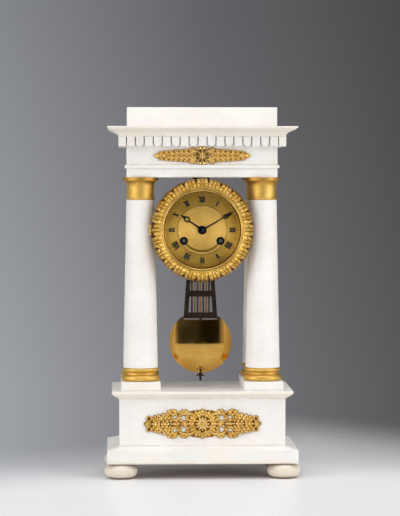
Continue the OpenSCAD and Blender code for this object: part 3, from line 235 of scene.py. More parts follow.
def leaf(x, z, root, tip, width, height, veins=3.0):
    """A leaf from root to tip. At the share s of its length its half width is width * sin(pi s^0.8)^0.7; its
    section is oval, with a raised middle rib and side veins that slant towards the tip."""
    dx, dz = tip[0] - root[0], tip[1] - root[1]
    length = np.hypot(dx, dz)
    s = ((x - root[0]) * dx + (z - root[1]) * dz) / length**2
    across = np.abs((z - root[1]) * dx - (x - root[0]) * dz) / length
    share = across / (width * np.sin(np.pi * np.clip(s, 0.02, 0.98) ** 0.8) ** 0.7)
    vein = 0.8 + 0.2 * np.cos(FULL_TURN * veins * (s - 0.35 * across / width))
    oval = np.sqrt(np.maximum(0, 1 - share**2))
    body = height * (oval * vein + 0.22 * ridge(across, 0, 0.16 * width))
    beyond = np.maximum(-s, s - 1) * length / width
    return np.where(beyond > 0, -height * beyond, np.where(share < 1, body, height * (1 - share)))


# Node trees and finishes

class Nodes:
    """Adds nodes to a tree: add returns the node itself, and the other methods what comes out of it."""

    def __init__(self, tree):
        self.tree = tree

    def add(self, kind, inputs=(), **settings):
        """A node of any kind; each input is an output to link or a constant."""
        node = self.tree.nodes.new(kind)
        for key, value in settings.items():
            setattr(node, key, value)
        for key, value in dict(inputs).items():
            if isinstance(value, bpy.types.NodeSocket):
                self.tree.links.new(value, node.inputs[key])
            else:
                node.inputs[key].default_value = value
        return node

    def math(self, operation, a, b=0.0):
        """A calculation with one or two values."""
        return self.add("ShaderNodeMath", {0: a, 1: b}, operation=operation).outputs[0]

    def away(self, value, middle):
        """The distance of a value from a middle one."""
        return self.math("ABSOLUTE", self.math("SUBTRACT", value, middle))

    def axes(self, vector):
        """The X, Y and Z of a vector."""
        return self.add("ShaderNodeSeparateXYZ", {0: vector}).outputs

    def spread(self, value, low, high, to_low=0.0, to_high=1.0, **settings):
        """A value between low and high, spread from to_low to to_high and held at its ends."""
        inputs = {"Value": value, "From Min": low, "From Max": high, "To Min": to_low, "To Max": to_high}
        return self.add("ShaderNodeMapRange", inputs, **settings).outputs["Result"]

    def ramp(self, factor, *stops):
        """A colour ramp through (position, colour) stops."""
        node = self.add("ShaderNodeValToRGB", {"Fac": factor})
        band = node.color_ramp
        while len(band.elements) < len(stops):
            band.elements.new(0.5)
        for element, (position, colour) in zip(band.elements, stops):
            element.position = position
            element.color = (*colour, 1)
        return node.outputs["Color"]

    def mix(self, factor, a, b):
        """The colour a, turned into the colour b by a factor."""
        b = b if isinstance(b, bpy.types.NodeSocket) else (*b, 1)
        return self.add("ShaderNodeMix", {0: factor, 6: a, 7: b}, data_type="RGBA").outputs[2]

    def blend(self, factor, a, b):
        """The shader a, turned into the shader b by a factor."""
        return self.add("ShaderNodeMixShader", {0: factor, 1: a, 2: b}).outputs[0]


def socket_name(key):
    """The name of a shader's socket: specular_ior_level becomes Specular IOR Level."""
    return key.replace("_", " ").title().replace("Ior", "IOR")


class Finish(Nodes):
    """A material for one finish of the clock, built round its shader."""

    def __init__(self, name, **sockets):
        self.material = bpy.data.materials.new(name)
        self.material.use_nodes = True
        super().__init__(self.material.node_tree)
        self.shader = self.tree.nodes["Principled BSDF"]
        for key, value in sockets.items():
            self.shader.inputs[socket_name(key)].default_value = value
        self.place = self.add("ShaderNodeTexCoord").outputs["Object"]

    def noise(self, size, detail=4.0, rough=0.55, stretch=(1, 1, 1)):
        """Noise whose blobs are about size millimetres."""
        scale = [s / (size * MM) for s in stretch]
        place = self.add("ShaderNodeMapping", {"Vector": self.place, "Scale": scale}).outputs[0]
        inputs = {"Vector": place, "Scale": 1.0, "Detail": detail, "Roughness": rough}
        return self.add("ShaderNodeTexNoise", inputs).outputs["Fac"]

    def bump(self, height, depth, strength):
        """Bump of depth millimetres."""
        inputs = {"Height": height, "Distance": depth * MM, "Strength": strength}
        return self.add("ShaderNodeBump", inputs).outputs[0]

    def set(self, **links):
        """Links outputs to the shader's sockets, and returns the material."""
        for key, value in links.items():
            self.tree.links.new(value, self.shader.inputs[socket_name(key)])
        return self.material

    def clear(self, factor):
        """Turns the finish clear by a factor, and returns the material."""
        clear = self.add("ShaderNodeBsdfTransparent").outputs[0]
        mixed = self.blend(factor, self.shader.outputs[0], clear)
        self.tree.links.new(mixed, self.tree.nodes["Material Output"].inputs["Surface"])
        return self.material


COURSES = ("base_plinth", "base_die", "base_cap", "column_plinths", "column_bases", "capitals", "architrave",
           "frieze", "cornice", "attic_block")
MOULDINGS = ("base_cap", "cornice")
VEIN, AGED, MOULDED = (0.72, 0.69, 0.66), (0.88, 0.78, 0.64), (0.90, 0.79, 0.63)
FOOT, UNDERSIDE_SHADE, DIRT = (0.76, 0.66, 0.53), (0.30, 0.18, 0.10), (0.46, 0.33, 0.20)


def marble_finish():
    """White marble: faint grey clouds, thin soft veins, a warm tone where it has aged, on the two mouldings
    and on the feet, painted brown shade on the underside, thin brown dirt in patches just above the joints
    between its courses, and a dull polish."""
    f = Finish("white_marble", specular_ior_level=0.3)
    up = f.axes(f.place)["Z"]
    stone = f.ramp(f.noise(42, 6.0, 0.6), (0.3, (0.815, 0.78, 0.735)), (0.62, (0.872, 0.848, 0.808)))
    stone = f.mix(f.spread(f.away(f.noise(65, 5.0, 0.62), 0.5), 0.0, 0.02, 0.24, 0.0), stone, VEIN)
    stone = f.mix(f.spread(f.noise(28, 3.0, 0.5, (1, 1, 0.35)), 0.52, 0.8, 0.0, 0.5), stone, AGED)
    stone = f.mix(f.spread(up, (foot_top - 6) * MM, (foot_top + 6) * MM, 0.9, 0.0), stone, FOOT)
    for node in MOULDINGS:
        low, top = (corner[2] for corner in box_mm(node))
        above = f.spread(up, (low + 1) * MM, (low + 4) * MM)
        below = f.spread(up, (top - 2) * MM, top * MM, 1.0, 0.0)
        stone = f.mix(f.math("MULTIPLY", f.math("MINIMUM", above, below), 0.45), stone, MOULDED)
    # Painted shade: faces that turn down, below the feet's top, take a dark brown
    facing = f.axes(f.add("ShaderNodeNewGeometry").outputs["Normal"])["Z"]
    low_down = f.spread(up, (foot_top + 2) * MM, (foot_top + 3) * MM, 1.0, 0.0)
    stone = f.mix(f.math("MULTIPLY", f.spread(facing, -0.9, -0.7, 1.0, 0.0), low_down), stone, UNDERSIDE_SHADE)
    dirt = 0.0
    for node in COURSES:
        joint = box_mm(node)[0][2]
        line = f.spread(f.away(up, (joint + 0.65) * MM), 0.15 * MM, 0.6 * MM, 1.0, 0.0)
        dirt = f.math("MAXIMUM", dirt, line)
    dirt = f.math("MULTIPLY", dirt, f.spread(f.noise(15, 4.0, 0.6), 0.35, 0.6, 0.05, 0.75))
    stone = f.mix(dirt, stone, DIRT)
    rough = f.spread(f.noise(9), 0.3, 0.7, 0.32, 0.48)
    return f.set(base_color=stone, roughness=rough, normal=f.bump(f.noise(0.9, 3.0), 0.03, 0.35))


def gilt_cast_finish():
    """Fire gilding on a casting: gold that shifts between yellow and orange. It follows the casting's lift:
    burnished with a pale painted highlight on high places, matt and reddish with painted shade in low ones."""
    f = Finish("gilt_cast", metallic=1.0)
    fine = f.noise(1.3, 3.0, 0.6)
    lift = f.add("ShaderNodeAttribute", attribute_name="lift").outputs["Fac"]
    low = f.spread(lift, 0.05, 0.55, 1.0, 0.0)
    high = f.spread(lift, 0.75, 1.0, 0.0, 0.6)
    dark, middle, pale = (0.52, 0.29, 0.05), (0.63, 0.39, 0.085), (0.76, 0.515, 0.15)
    gold = f.ramp(f.noise(9), (0.3, dark), (0.5, middle), (0.72, pale))
    # Painted shade: low places turn dark reddish brown, over their real matt, reddish gilding
    gold = f.mix(low, gold, (0.20, 0.085, 0.015))
    # Painted highlight: high places turn a pale, whitish gold, over their real burnish
    gold = f.mix(high, gold, (0.90, 0.68, 0.32))
    rough = f.math("ADD", f.spread(low, 0.0, 1.0, 0.33, 0.55), f.spread(fine, 0.3, 0.7, -0.05, 0.08))
    return f.set(base_color=gold, roughness=rough, normal=f.bump(fine, 0.12, 0.5))


def gilt_turned_finish():
    """Fire gilding on turned pieces: a paler gold with dark worn spots, and a brown painted shadow of the
    architrave at the capitals' top.
    """
    f = Finish("gilt_turned", metallic=1.0)
    fine = f.noise(1.3, 3.0, 0.6)
    dark, middle, pale = (0.69, 0.42, 0.095), (0.78, 0.51, 0.13), (0.83, 0.59, 0.19)
    gold = f.ramp(f.noise(9), (0.3, dark), (0.5, middle), (0.72, pale))
    spots = f.spread(f.noise(3.2, 5.0, 0.65), 0.6, 0.78, 0.0, 0.5)
    gold = f.mix(spots, gold, (0.45, 0.22, 0.05))
    # Painted shadow: the capitals' top band, under the architrave, turns brown
    shade = f.spread(f.axes(f.place)["Z"], (capital_top - 11) * MM, (capital_top - 6) * MM, 0.0, 0.6)
    gold = f.mix(shade, gold, (0.40, 0.19, 0.03))
    rough = f.spread(fine, 0.3, 0.7, 0.50, 0.64)
    return f.set(base_color=gold, roughness=rough, normal=f.bump(fine, 0.03, 0.5))


def grained_finish(name, light, dark, rough, stretch=(1, 1, 14)):
    """Metal with a fine grain drawn along one direction and a mottled tone."""
    f = Finish(name, metallic=1.0)
    grain = f.noise(0.5, 3.0, 0.6, stretch)
    tone = f.math("ADD", f.math("MULTIPLY", f.noise(7), 0.7), f.math("MULTIPLY", grain, 0.3))
    colour = f.ramp(tone, (0.35, dark), (0.65, light))
    rough = f.spread(grain, 0.3, 0.7, rough - 0.07, rough + 0.09)
    return f.set(base_color=colour, roughness=rough, normal=f.bump(grain, 0.02, 0.4))


def polished_finish():
    """Polished brass: a near mirror with faint cloudy tarnish and hairlines."""
    f = Finish("polished_brass", metallic=1.0)
    tarnish = f.noise(17, 5.0, 0.6)
    colour = f.ramp(tarnish, (0.35, (0.58, 0.32, 0.065)), (0.65, (0.68, 0.41, 0.105)))
    hair = f.noise(0.35, 2.0, 0.6, (1, 1, 9))
    rough = f.math("ADD", f.spread(tarnish, 0.45, 0.75, 0.05, 0.13), f.spread(hair, 0.4, 0.7, 0.0, 0.04))
    return f.set(base_color=colour, roughness=rough)


# Radii on the dial, and the angle from its top at which the plain arc starts
DIAL_CENTRE_R, DIAL_SHADOW_R = 31.3, 48.9
CENTRE_LINE_R, MINUTE_LINE_R = 32.2, 45.2
ARC_R, ARC_HALF_WIDTH, ARC_START = 27.6, 1.5, 2.25
# Waves in a turn, and radians in a millimetre of radius of the waves' swing, the rings and the grain
WAVES_ROUND, SWING_RATE, RING_RATE, GRAIN_RATE = 40.0, 1.9, 2.6, 11.0


def dial_finish():
    """Engine-turned gilt dial, in polar coordinates about its middle: crossed waves fill the centre, a plain
    arc lies in its lower half, a circularly grained chapter ring lies between two lines, and a painted
    shadow of the bezel darkens the edge. The grain runs in circles, so light spreads along the radius."""
    f = Finish("gilt_dial", metallic=1.0)
    shift = [-v * MM for v in dial_mid]
    place = f.add("ShaderNodeVectorMath", {0: f.place, 1: shift}, operation="ADD").outputs[0]
    place = f.add("ShaderNodeVectorMath", {0: place, "Scale": 1 / MM}, operation="SCALE").outputs[0]
    part = f.axes(place)
    x, z = part["X"], part["Z"]
    radius = f.math("SQRT", f.math("ADD", f.math("POWER", x, 2.0), f.math("POWER", z, 2.0)))
    angle = f.math("ARCTAN2", x, z)

    swing = f.math("MULTIPLY", f.math("SINE", f.math("MULTIPLY", radius, SWING_RATE)), 1.6)
    waves = f.math("SINE", f.math("ADD", f.math("MULTIPLY", angle, WAVES_ROUND), swing))
    turned_lines = f.math("MULTIPLY", waves, f.math("SINE", f.math("MULTIPLY", radius, RING_RATE)))
    low_half = f.math("GREATER_THAN", f.math("ABSOLUTE", angle), ARC_START)
    arc = f.spread(f.away(radius, ARC_R), ARC_HALF_WIDTH, ARC_HALF_WIDTH + 0.3, 1.0, 0.0)
    arc = f.math("MULTIPLY", arc, low_half)
    inside = f.spread(radius, DIAL_CENTRE_R, DIAL_CENTRE_R + 0.4, 1.0, 0.0)
    inside = f.math("MULTIPLY", inside, f.math("SUBTRACT", 1.0, arc))
    circles = f.math("SINE", f.math("MULTIPLY", radius, GRAIN_RATE))
    circles = f.math("MULTIPLY", circles, f.math("MULTIPLY", f.math("SUBTRACT", 1.0, inside), 0.18))
    pattern = f.math("ADD", f.math("MULTIPLY", turned_lines, inside), circles)

    graining = f.noise(0.6, 2.0)
    tone = f.math("ADD", f.math("MULTIPLY", f.noise(16), 0.8), f.math("MULTIPLY", graining, 0.2))
    centre = f.ramp(tone, (0.35, (0.78, 0.475, 0.105)), (0.65, (0.94, 0.61, 0.17)))
    ring = f.ramp(tone, (0.35, (0.66, 0.385, 0.06)), (0.65, (0.86, 0.525, 0.10)))
    colour = f.mix(f.math("MULTIPLY", arc, 0.8), f.mix(inside, ring, centre), (0.38, 0.235, 0.045))
    hollows = f.math("MULTIPLY", f.spread(turned_lines, -1.0, 0.1, 0.6, 0.0), inside)
    colour = f.mix(hollows, colour, (0.42, 0.25, 0.06))
    lines = f.math("ADD", f.spread(f.away(radius, CENTRE_LINE_R), 0.25, 0.5, 1.0, 0.0),
                   f.spread(f.away(radius, MINUTE_LINE_R), 0.12, 0.3, 0.7, 0.0))
    colour = f.mix(lines, colour, (0.28, 0.17, 0.05))
    # Painted shadow of the bezel along the dial's edge
    colour = f.mix(f.spread(radius, DIAL_SHADOW_R, DIAL_SHADOW_R + 0.7), colour, (0.16, 0.09, 0.02))
    rough = f.math("ADD", f.spread(graining, 0.3, 0.7, 0.30, 0.42), f.math("MULTIPLY", inside, 0.13))
    turned_out = f.add("ShaderNodeVectorTransform", {0: place}, convert_from="OBJECT", convert_to="WORLD")
    outward = turned_out.outputs[0]
    return f.set(base_color=colour, roughness=rough, normal=f.bump(pattern, 0.14, 0.8), tangent=outward,
                 anisotropic=f.spread(inside, 0.0, 1.0, 0.85, 0.55))


def iron_finish():
    """Dark bronzed iron: near black brown with reddish rubbed patches."""
    f = Finish("dark_iron", metallic=0.75)
    dark, brown, rubbed = (0.018, 0.014, 0.010), (0.05, 0.034, 0.02), (0.13, 0.065, 0.026)
    colour = f.ramp(f.noise(6, 5.0, 0.65), (0.35, dark), (0.6, brown), (0.8, rubbed))
    fine = f.noise(0.7, 3.0)
    rough = f.spread(fine, 0.3, 0.7, 0.38, 0.56)
    return f.set(base_color=colour, roughness=rough, normal=f.bump(fine, 0.04, 0.5))


ROD_PITCH = 3.8


def rods_finish():
    """Gridiron rods: brass and dark steel in turn across the frame, each with a drawn grain."""
    f = Finish("gridiron_rods", metallic=1.0)
    wave = f.math("COSINE", f.math("MULTIPLY", f.axes(f.place)["X"], np.pi / (ROD_PITCH * MM)))
    tone = f.noise(3, 4.0, 0.6, (1, 1, 0.2))
    brass = f.ramp(tone, (0.35, (0.20, 0.115, 0.035)), (0.65, (0.36, 0.23, 0.08)))
    steel = f.ramp(tone, (0.35, (0.05, 0.035, 0.025)), (0.65, (0.12, 0.09, 0.06)))
    rough = f.spread(f.noise(0.6, 2.0), 0.3, 0.7, 0.3, 0.42)
    return f.set(base_color=f.mix(f.math("GREATER_THAN", wave, 0.0), steel, brass), roughness=rough)


def blued_finish():
    """Blued steel: near black blue with a violet shift and a fine polish."""
    f = Finish("blued_steel", metallic=0.9)
    colour = f.ramp(f.noise(4, 3.0), (0.35, (0.010, 0.011, 0.020)), (0.7, (0.028, 0.030, 0.062)))
    return f.set(base_color=colour, roughness=f.spread(f.noise(0.5, 2.0), 0.3, 0.7, 0.22, 0.34))


def wax_finish():
    """Black filling of the engraved numerals, slightly uneven."""
    f = Finish("black_wax", specular_ior_level=0.3)
    tone = f.noise(1.2, 3.0)
    colour = f.ramp(tone, (0.35, (0.012, 0.010, 0.008)), (0.7, (0.035, 0.028, 0.02)))
    return f.set(base_color=colour, roughness=f.spread(tone, 0.3, 0.7, 0.4, 0.6))


def glass_finish():
    """Clear flat glass with a trace of unevenness; lamp light passes straight through it."""
    f = Finish("clear_glass", transmission_weight=1.0, ior=1.45, base_color=(0.97, 0.985, 0.98, 1))
    f.set(roughness=f.spread(f.noise(30, 2.0), 0.3, 0.7, 0.0, 0.02))
    return f.clear(f.add("ShaderNodeLightPath").outputs["Is Shadow Ray"])


FINISHES = {
    "marble": marble_finish(),
    "gilt_bronze": gilt_turned_finish(),
    "gilt_dial": dial_finish(),
    "brass": grained_finish("grained_brass", (0.72, 0.49, 0.17), (0.57, 0.37, 0.115), 0.32),
    "polished_brass": polished_finish(),
    "bell_metal": grained_finish("bell_metal", (0.60, 0.44, 0.20), (0.40, 0.27, 0.11), 0.28, (1, 14, 1)),
    "blued_steel": blued_finish(),
    "steel": grained_finish("grained_steel", (0.30, 0.30, 0.30), (0.16, 0.16, 0.165), 0.34),
    "dark_iron": iron_finish(),
    "clear_glass": glass_finish(),
}
GILT_CAST = gilt_cast_finish()
RODS = rods_finish()
WAX = wax_finish()
for part in frame["record"]["subparts"]:
    mesh = frame["nodes"][part["node"]].data
    mesh.materials.clear()
    mesh.materials.append(RODS if part["node"] == "pendulum_rods" else FINISHES[part["material_slot"]])


def dress(obj, material, body, stands_for=()):
    """Gives a piece its finish, the body that it rides on and the nodes that it stands for."""
    obj.data.materials.append(material)
    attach(obj, body)
    if stands_for:
        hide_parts(*stands_for)


def dress_plain(obj, finish, body):
    """Dresses a piece in one of the part's own finishes, whose name is also its slot."""
    dress(obj, FINISHES[finish], body)


# Bezel: a ring of upright leaves round a hollow band and a bead

LEAVES = 24
STEPS_PER_LEAF, STEPS_ALONG_LEAF = 36, 48
LEAF_FOOT_R, LEAF_FOOT_DEPTH = 54.8, 9.6
LEAF_RIM_DEPTH, LEAF_CREST_DEPTH = 3.0, bezel_depth - 0.6
CREST_AT = 0.42
KNUCKLE_R, KNUCKLE_HALF, KNUCKLE_AHEAD = 1.6, 3.0, 3.6
PIN_CLEAR_R, PIN_CLEAR_FROM, PIN_CLEAR_TO = 65.1, 2.9, 7.5
BAND_LIFT, RIM_LIFT = 0.8, 0.3
# Radius and height of the hollow band, the bead and the seat of the glass
BAND = np.array([
    (54.4, 8.9), (53.8, 8.4), (53.0, 8.2), (52.2, 8.3), (51.9, 8.7), (51.5, 9.3),
    (51.0, 9.5), (50.6, 9.2), (50.4, 8.6), (50.4, 7.8), (51.9, 7.8), (51.9, 0.0)])


def bezel_casting():
    """A closed section swept round the dial. In the leaf band, side runs from 0 to 1 from a leaf's middle to
    its edge and t from its outer end to its foot; the height is a swelling plus a middle rib, two lobes with
    leaflets, and a gap to the next leaf that opens at the outer end. The rim clears the hinge pins."""
    turn = np.linspace(0, FULL_TURN, LEAVES * STEPS_PER_LEAF, endpoint=False)
    a, t = np.meshgrid(turn, np.linspace(0, 1, STEPS_ALONG_LEAF), indexing="ij")
    side = np.abs(((a - np.pi / 2) * LEAVES / FULL_TURN + 0.5) % 1 * 2 - 1)
    outer = bezel_r - 0.2 - 1.6 * ridge(side, 1, 0.10) - 0.9 * ridge(side, 0.36, 0.07) - 0.7 * side**4
    up = np.abs(bezel_r * np.sin(a))
    by_pins = (np.cos(a) < 0) & (up > PIN_CLEAR_FROM) & (up < PIN_CLEAR_TO)
    outer = np.where(by_pins, np.minimum(outer, PIN_CLEAR_R), outer)
    radius = outer + (LEAF_FOOT_R - outer) * t
    rise = np.sin(np.pi / 2 * np.clip(t / CREST_AT, 0, 1)) ** 0.8
    fall = np.clip((t - CREST_AT) / (1 - CREST_AT), 0, 1) ** 1.3
    swell = LEAF_RIM_DEPTH + (LEAF_CREST_DEPTH - LEAF_RIM_DEPTH) * rise
    swell = swell + (LEAF_FOOT_DEPTH - LEAF_CREST_DEPTH) * fall
    fade = np.sin(np.pi * np.clip(0.1 + 0.9 * t, 0, 1)) ** 0.5
    rib = ridge(side, 0, 0.10) * (0.3 + 0.9 * t)
    flank = ridge(side, 0.24, 0.09) * (1.1 - 0.4 * t)
    lobes = ridge(side, 0.60, 0.24)
    leaflets = np.cos(FULL_TURN * (2.1 * t - 0.9 * side)) * lobes
    split = ridge(side, 1, 0.14) * (0.45 + 2.6 * np.clip(1 - t / 0.5, 0, 1))
    leaf_lift = fade * (0.9 * rib - 0.9 * flank + 0.6 * lobes + 0.55 * leaflets) - split
    depth = np.maximum(swell + leaf_lift, 0.8)
    # The lift sets the gilt finish's painted shade and highlight on the leaves
    lift = np.clip(0.42 + 0.36 * leaf_lift, 0, 1)

    band = np.broadcast_to(BAND, (len(turn), *BAND.shape))
    rim = outer[:, :1]
    flat = np.zeros_like(rim)
    radius = np.concatenate([radius, band[:, :, 0], rim - 1.0, rim], 1)
    depth = np.concatenate([depth, band[:, :, 1], flat, flat + 0.6], 1)
    lift = np.concatenate([lift, np.full(band.shape[:2], BAND_LIFT), flat + RIM_LIFT, flat + RIM_LIFT], 1)
    x = dial_mid[0] + radius * np.cos(turn)[:, None]
    z = dial_mid[2] + radius * np.sin(turn)[:, None]
    points = np.stack([x, bezel_back - depth, z], -1)
    return surface("bezel_casting", points, wrap_u=True, wrap_v=True, values={"lift": lift})


def bezel_knuckle():
    """A plain upright cylinder on the hinge's axis."""
    at = (bezel_lo[0] + KNUCKLE_R, bezel_back - KNUCKLE_AHEAD, dial_mid[2])
    ends = ((0, -KNUCKLE_HALF), (KNUCKLE_R, -KNUCKLE_HALF), (KNUCKLE_R, KNUCKLE_HALF), (0, KNUCKLE_HALF))
    return turned("bezel_knuckle", ends, at, 2)


dress(bezel_casting(), GILT_CAST, "bezel", ["bezel"])
dress(bezel_knuckle(), GILT_CAST, "bezel")


# Gilt mounts on the frieze and on the base

def mount_grid(node, count):
    """A grid over a mount's box in its own coordinates, and the place of its middle."""
    lo, hi = (corner[[0, 2]] for corner in box_mm(node))
    half = (hi - lo) / 2 + 0.5
    across, up = (np.linspace(-h, h, n) for h, n in zip(half, count))
    return *np.meshgrid(across, up, indexing="ij"), (lo + hi) / 2


def ground(ax, az, outline, height):
    """Low ground between the leaves, inside an outline given as (distance along, half height) points."""
    along, half = np.array(outline, float).T
    return height * np.clip((np.interp(ax, along, half) - az) / 0.6, -1, 1)


# FRIEZE_FULL is low, so that the frieze casting, which lies in the cornice's shadow, reads paler: painted
# light
FRIEZE_GRID, FRIEZE_FULL = (600, 122), 1.7
ROSETTE_EDGE_R, ROSETTE_PLATE_R, ROSETTE_RIM_R = 11.4, 11.2, 10.6
SLOT_R, SLOT_HALF_LENGTH, SLOT_HALF_WIDTH = 6.9, 2.9, 1.15
LEAF_PAIRS, PAIR_START, PAIR_PITCH = 7, 9.5, 6.6
FRIEZE_OUTLINE = [(10, 6.4), (17, 7.2), (30, 6.4), (45, 5.2), (53, 4.4), (60, 1.5), (63, 0)]
# Root, tip and half width of the leaves beside the rosette
SHOULDER_LEAVES = [
    ((8.6, 4.6), (16.6, 9.6), 2.9), ((9.0, 2.0), (16.0, 5.0), 2.4), ((7.0, 6.4), (14.8, 10.6), 2.1)]


def frieze_casting():
    """A rosette of eight ribs with low slots between them, dark by painted shade, inside a leafy rim, two
    wings of slanting leaves in pairs with buds between them, and pointed ends."""
    x, z, middle = mount_grid("frieze_mount", FRIEZE_GRID)
    ax, az, radius, angle = np.abs(x), np.abs(z), np.hypot(x, z), np.arctan2(z, x)
    eighth = np.abs((angle + np.pi / 8) % (np.pi / 4) - np.pi / 8)
    slot_along, slot_across = radius - SLOT_R, radius * (np.pi / 8 - eighth)
    slot = np.hypot(slot_along / SLOT_HALF_LENGTH, slot_across / SLOT_HALF_WIDTH)
    rib = 3.0 * np.clip(1.6 * (slot - 0.75), 0.06, 1.0) - 0.35 * (radius * eighth / 2) ** 2
    rib = np.where(radius < ROSETTE_EDGE_R, rib, -3.0)
    rim = dome(np.abs(radius - ROSETTE_RIM_R), 1.7 + 0.4 * np.cos(16 * angle), 2.6)
    rim = rim * (0.85 + 0.15 * np.cos(32 * angle))
    plate = 0.25 * np.clip((ROSETTE_PLATE_R - radius) / 0.5, -1, 1)
    rosette = highest(rib, rim, plate, petals(x, z, 8, 0.8, 4.2, 1.2, 3.8), dome(radius, 1.7, 4.6))
    wing = ground(ax, az, FRIEZE_OUTLINE, 0.7)
    for i in range(LEAF_PAIRS):
        at, size = PAIR_START + PAIR_PITCH * i, 1.02 - 0.035 * i - 0.004 * i * i
        long_leaf = leaf(ax, az, (at, 0.6), (at + 7.6, 8.9 * size), 3.1 * size, 2.6)
        short_leaf = leaf(ax, az, (at + 2.2, 0.4), (at + 9.4, 5.0 * size), 2.3 * size, 2.9)
        edge_bud = bud(ax, az, (at + 3.2, 7.6 * size), 1.5, 2.3)
        wing = highest(wing, long_leaf, short_leaf, edge_bud, bud(ax, az, (at + 5.2, 0), 1.4, 3.1))
    for root, tip, width in SHOULDER_LEAVES:
        wing = highest(wing, leaf(ax, az, root, tip, width, 2.6))
    end = leaf(ax, az, (49.0, 0.0), (63.8, 0.0), 3.9, 2.4, 4.0)
    height = highest(rosette, wing, end)
    return relief("frieze_casting", x, z, height, middle, frieze_front, FRIEZE_FULL)


BASE_GRID, BASE_FULL = (496, 138), 2.7
PALMETTE_X = 71.0
BASE_OUTLINE = [(0, 18.2), (12, 17.6), (20, 14.5), (28, 13), (34, 13.5), (41, 14.5), (48, 13), (58, 11),
                (66, 8.5), (72, 7.2), (74.5, 2)]
# Middle and half size of the holes through the ground
BASE_HOLES = [((24.2, 7.6), (4.0, 3.1)), ((36.0, 8.0), (3.0, 2.5))]
BASE_BUDS = [(27.8, 2.8), (33.0, 3.0), (43.5, 12.2), (50.5, 4.0), (57.0, 3.4), (62.5, 3.2), (47.0, 4.2)]
# Root, tip, half width and height of the leaves in a wing
WING_LEAVES = [
    ((18.0, 0.0), (29.6, 0.0), 2.7, 3.2), ((29.5, 0.0), (43.0, 0.0), 2.6, 3.0),
    ((42.5, 0.0), (56.0, 0.0), 3.1, 3.1), ((55.0, 0.0), (67.5, 0.0), 3.0, 3.0),
    ((30.4, 1.0), (30.4, 14.6), 1.9, 2.6), ((16.0, 12.2), (27.5, 18.6), 3.1, 2.8),
    ((20.5, 13.6), (33.8, 15.2), 2.5, 2.4), ((33.0, 12.4), (39.5, 19.2), 3.2, 2.7),
    ((41.0, 1.6), (46.4, 15.6), 3.0, 2.7), ((38.5, 12.0), (46.5, 17.4), 2.8, 2.5),
    ((45.0, 1.6), (52.6, 14.6), 3.1, 2.8), ((50.0, 1.6), (58.4, 13.2), 3.1, 2.7),
    ((55.4, 1.6), (63.6, 11.8), 2.9, 2.6), ((60.2, 1.6), (68.0, 10.2), 2.5, 2.4),
    ((44.0, 8.2), (53.0, 8.8), 1.7, 3.0), ((52.0, 5.4), (61.0, 6.4), 1.6, 2.9),
    ((16.5, 3.2), (22.5, 10.4), 2.2, 2.5), ((11.5, 11.8), (20.2, 14.6), 2.6, 2.6),
    ((28.6, 6.4), (33.4, 11.6), 2.0, 2.7), ((18.4, 9.8), (20.6, 5.2), 1.6, 2.6),
    ((32.0, 4.4), (41.4, 6.2), 1.7, 2.7)]


def base_casting():
    """A twelve-petalled daisy in a low ring, dark by painted shade, and a wreath of leaf tips; to each side
    two pierced scrolls, slanting leaves in pairs and buds along the middle; a round palmette with two volutes
    at each end."""
    x, z, middle = mount_grid("base_mount", BASE_GRID)
    ax, az = np.abs(x), np.abs(z)
    wreath = petals(x, z, 24, 10.4, 15.6, 1.5, 2.2)
    for degrees in range(0, 91, 15):
        length, height = (20.4, 2.7) if degrees % 30 == 0 else (18.6, 2.3)
        way = np.array([np.cos(np.radians(degrees)), np.sin(np.radians(degrees))])
        wreath = highest(wreath, leaf(ax, az, 10.8 * way, length * way, 3.0, height, 2.5))
    daisy = highest(petals(x, z, 12, 1.4, 9.8, 2.3, 4.0), petals(x, z, 8, 8.6, 13.0, 2.6, 2.4, np.pi / 8),
                    bud(x, z, (0, 0), 2.2, 5.0))
    plate = ground(ax, az, BASE_OUTLINE, 0.45)
    for at, size in BASE_HOLES:
        plate = np.minimum(plate, 3 * (np.hypot((ax - at[0]) / size[0], (az - at[1]) / size[1]) - 1))
    wing = highest(
        leafy_ring(ax, az, (24.2, 7.8), 5.3, 1.5, 2.6), leafy_ring(ax, az, (36.0, 8.1), 4.2, 1.4, 2.5),
        lobe(ax, az, (39.8, 15.0), (4.4, 4.2), 3.0, 8), lobe(ax, az, (22.0, 15.6), (3.6, 3.4), 2.9, 6),
        ring_bead(ax, az, (49.2, 9.8), 2.6, 1.1, 2.8), ring_bead(ax, az, (56.6, 9.0), 2.3, 1.0, 2.7))
    for root, tip, width, height in WING_LEAVES:
        wing = highest(wing, leaf(ax, az, root, tip, width, height))
    for at in BASE_BUDS:
        wing = highest(wing, bud(ax, az, at, 1.2, 2.9))
    palmette = petals(ax - PALMETTE_X, az, 9, 0.6, 4.6, 1.4, 2.8)
    palmette = highest(palmette, bud(ax, az, (PALMETTE_X, 0), 1.5, 3.4))
    volute = ring_bead(ax, az, (PALMETTE_X - 1.4, 6.7), 2.9, 1.2, 2.5)
    height = highest(wreath, daisy, plate, wing, palmette, volute)
    return relief("base_casting", x, z, height, middle, die_front, BASE_FULL)


dress(frieze_casting(), GILT_CAST, "root", ["frieze_mount"])
dress(base_casting(), GILT_CAST, "root", ["base_mount"])


# Numerals and minute marks of the dial

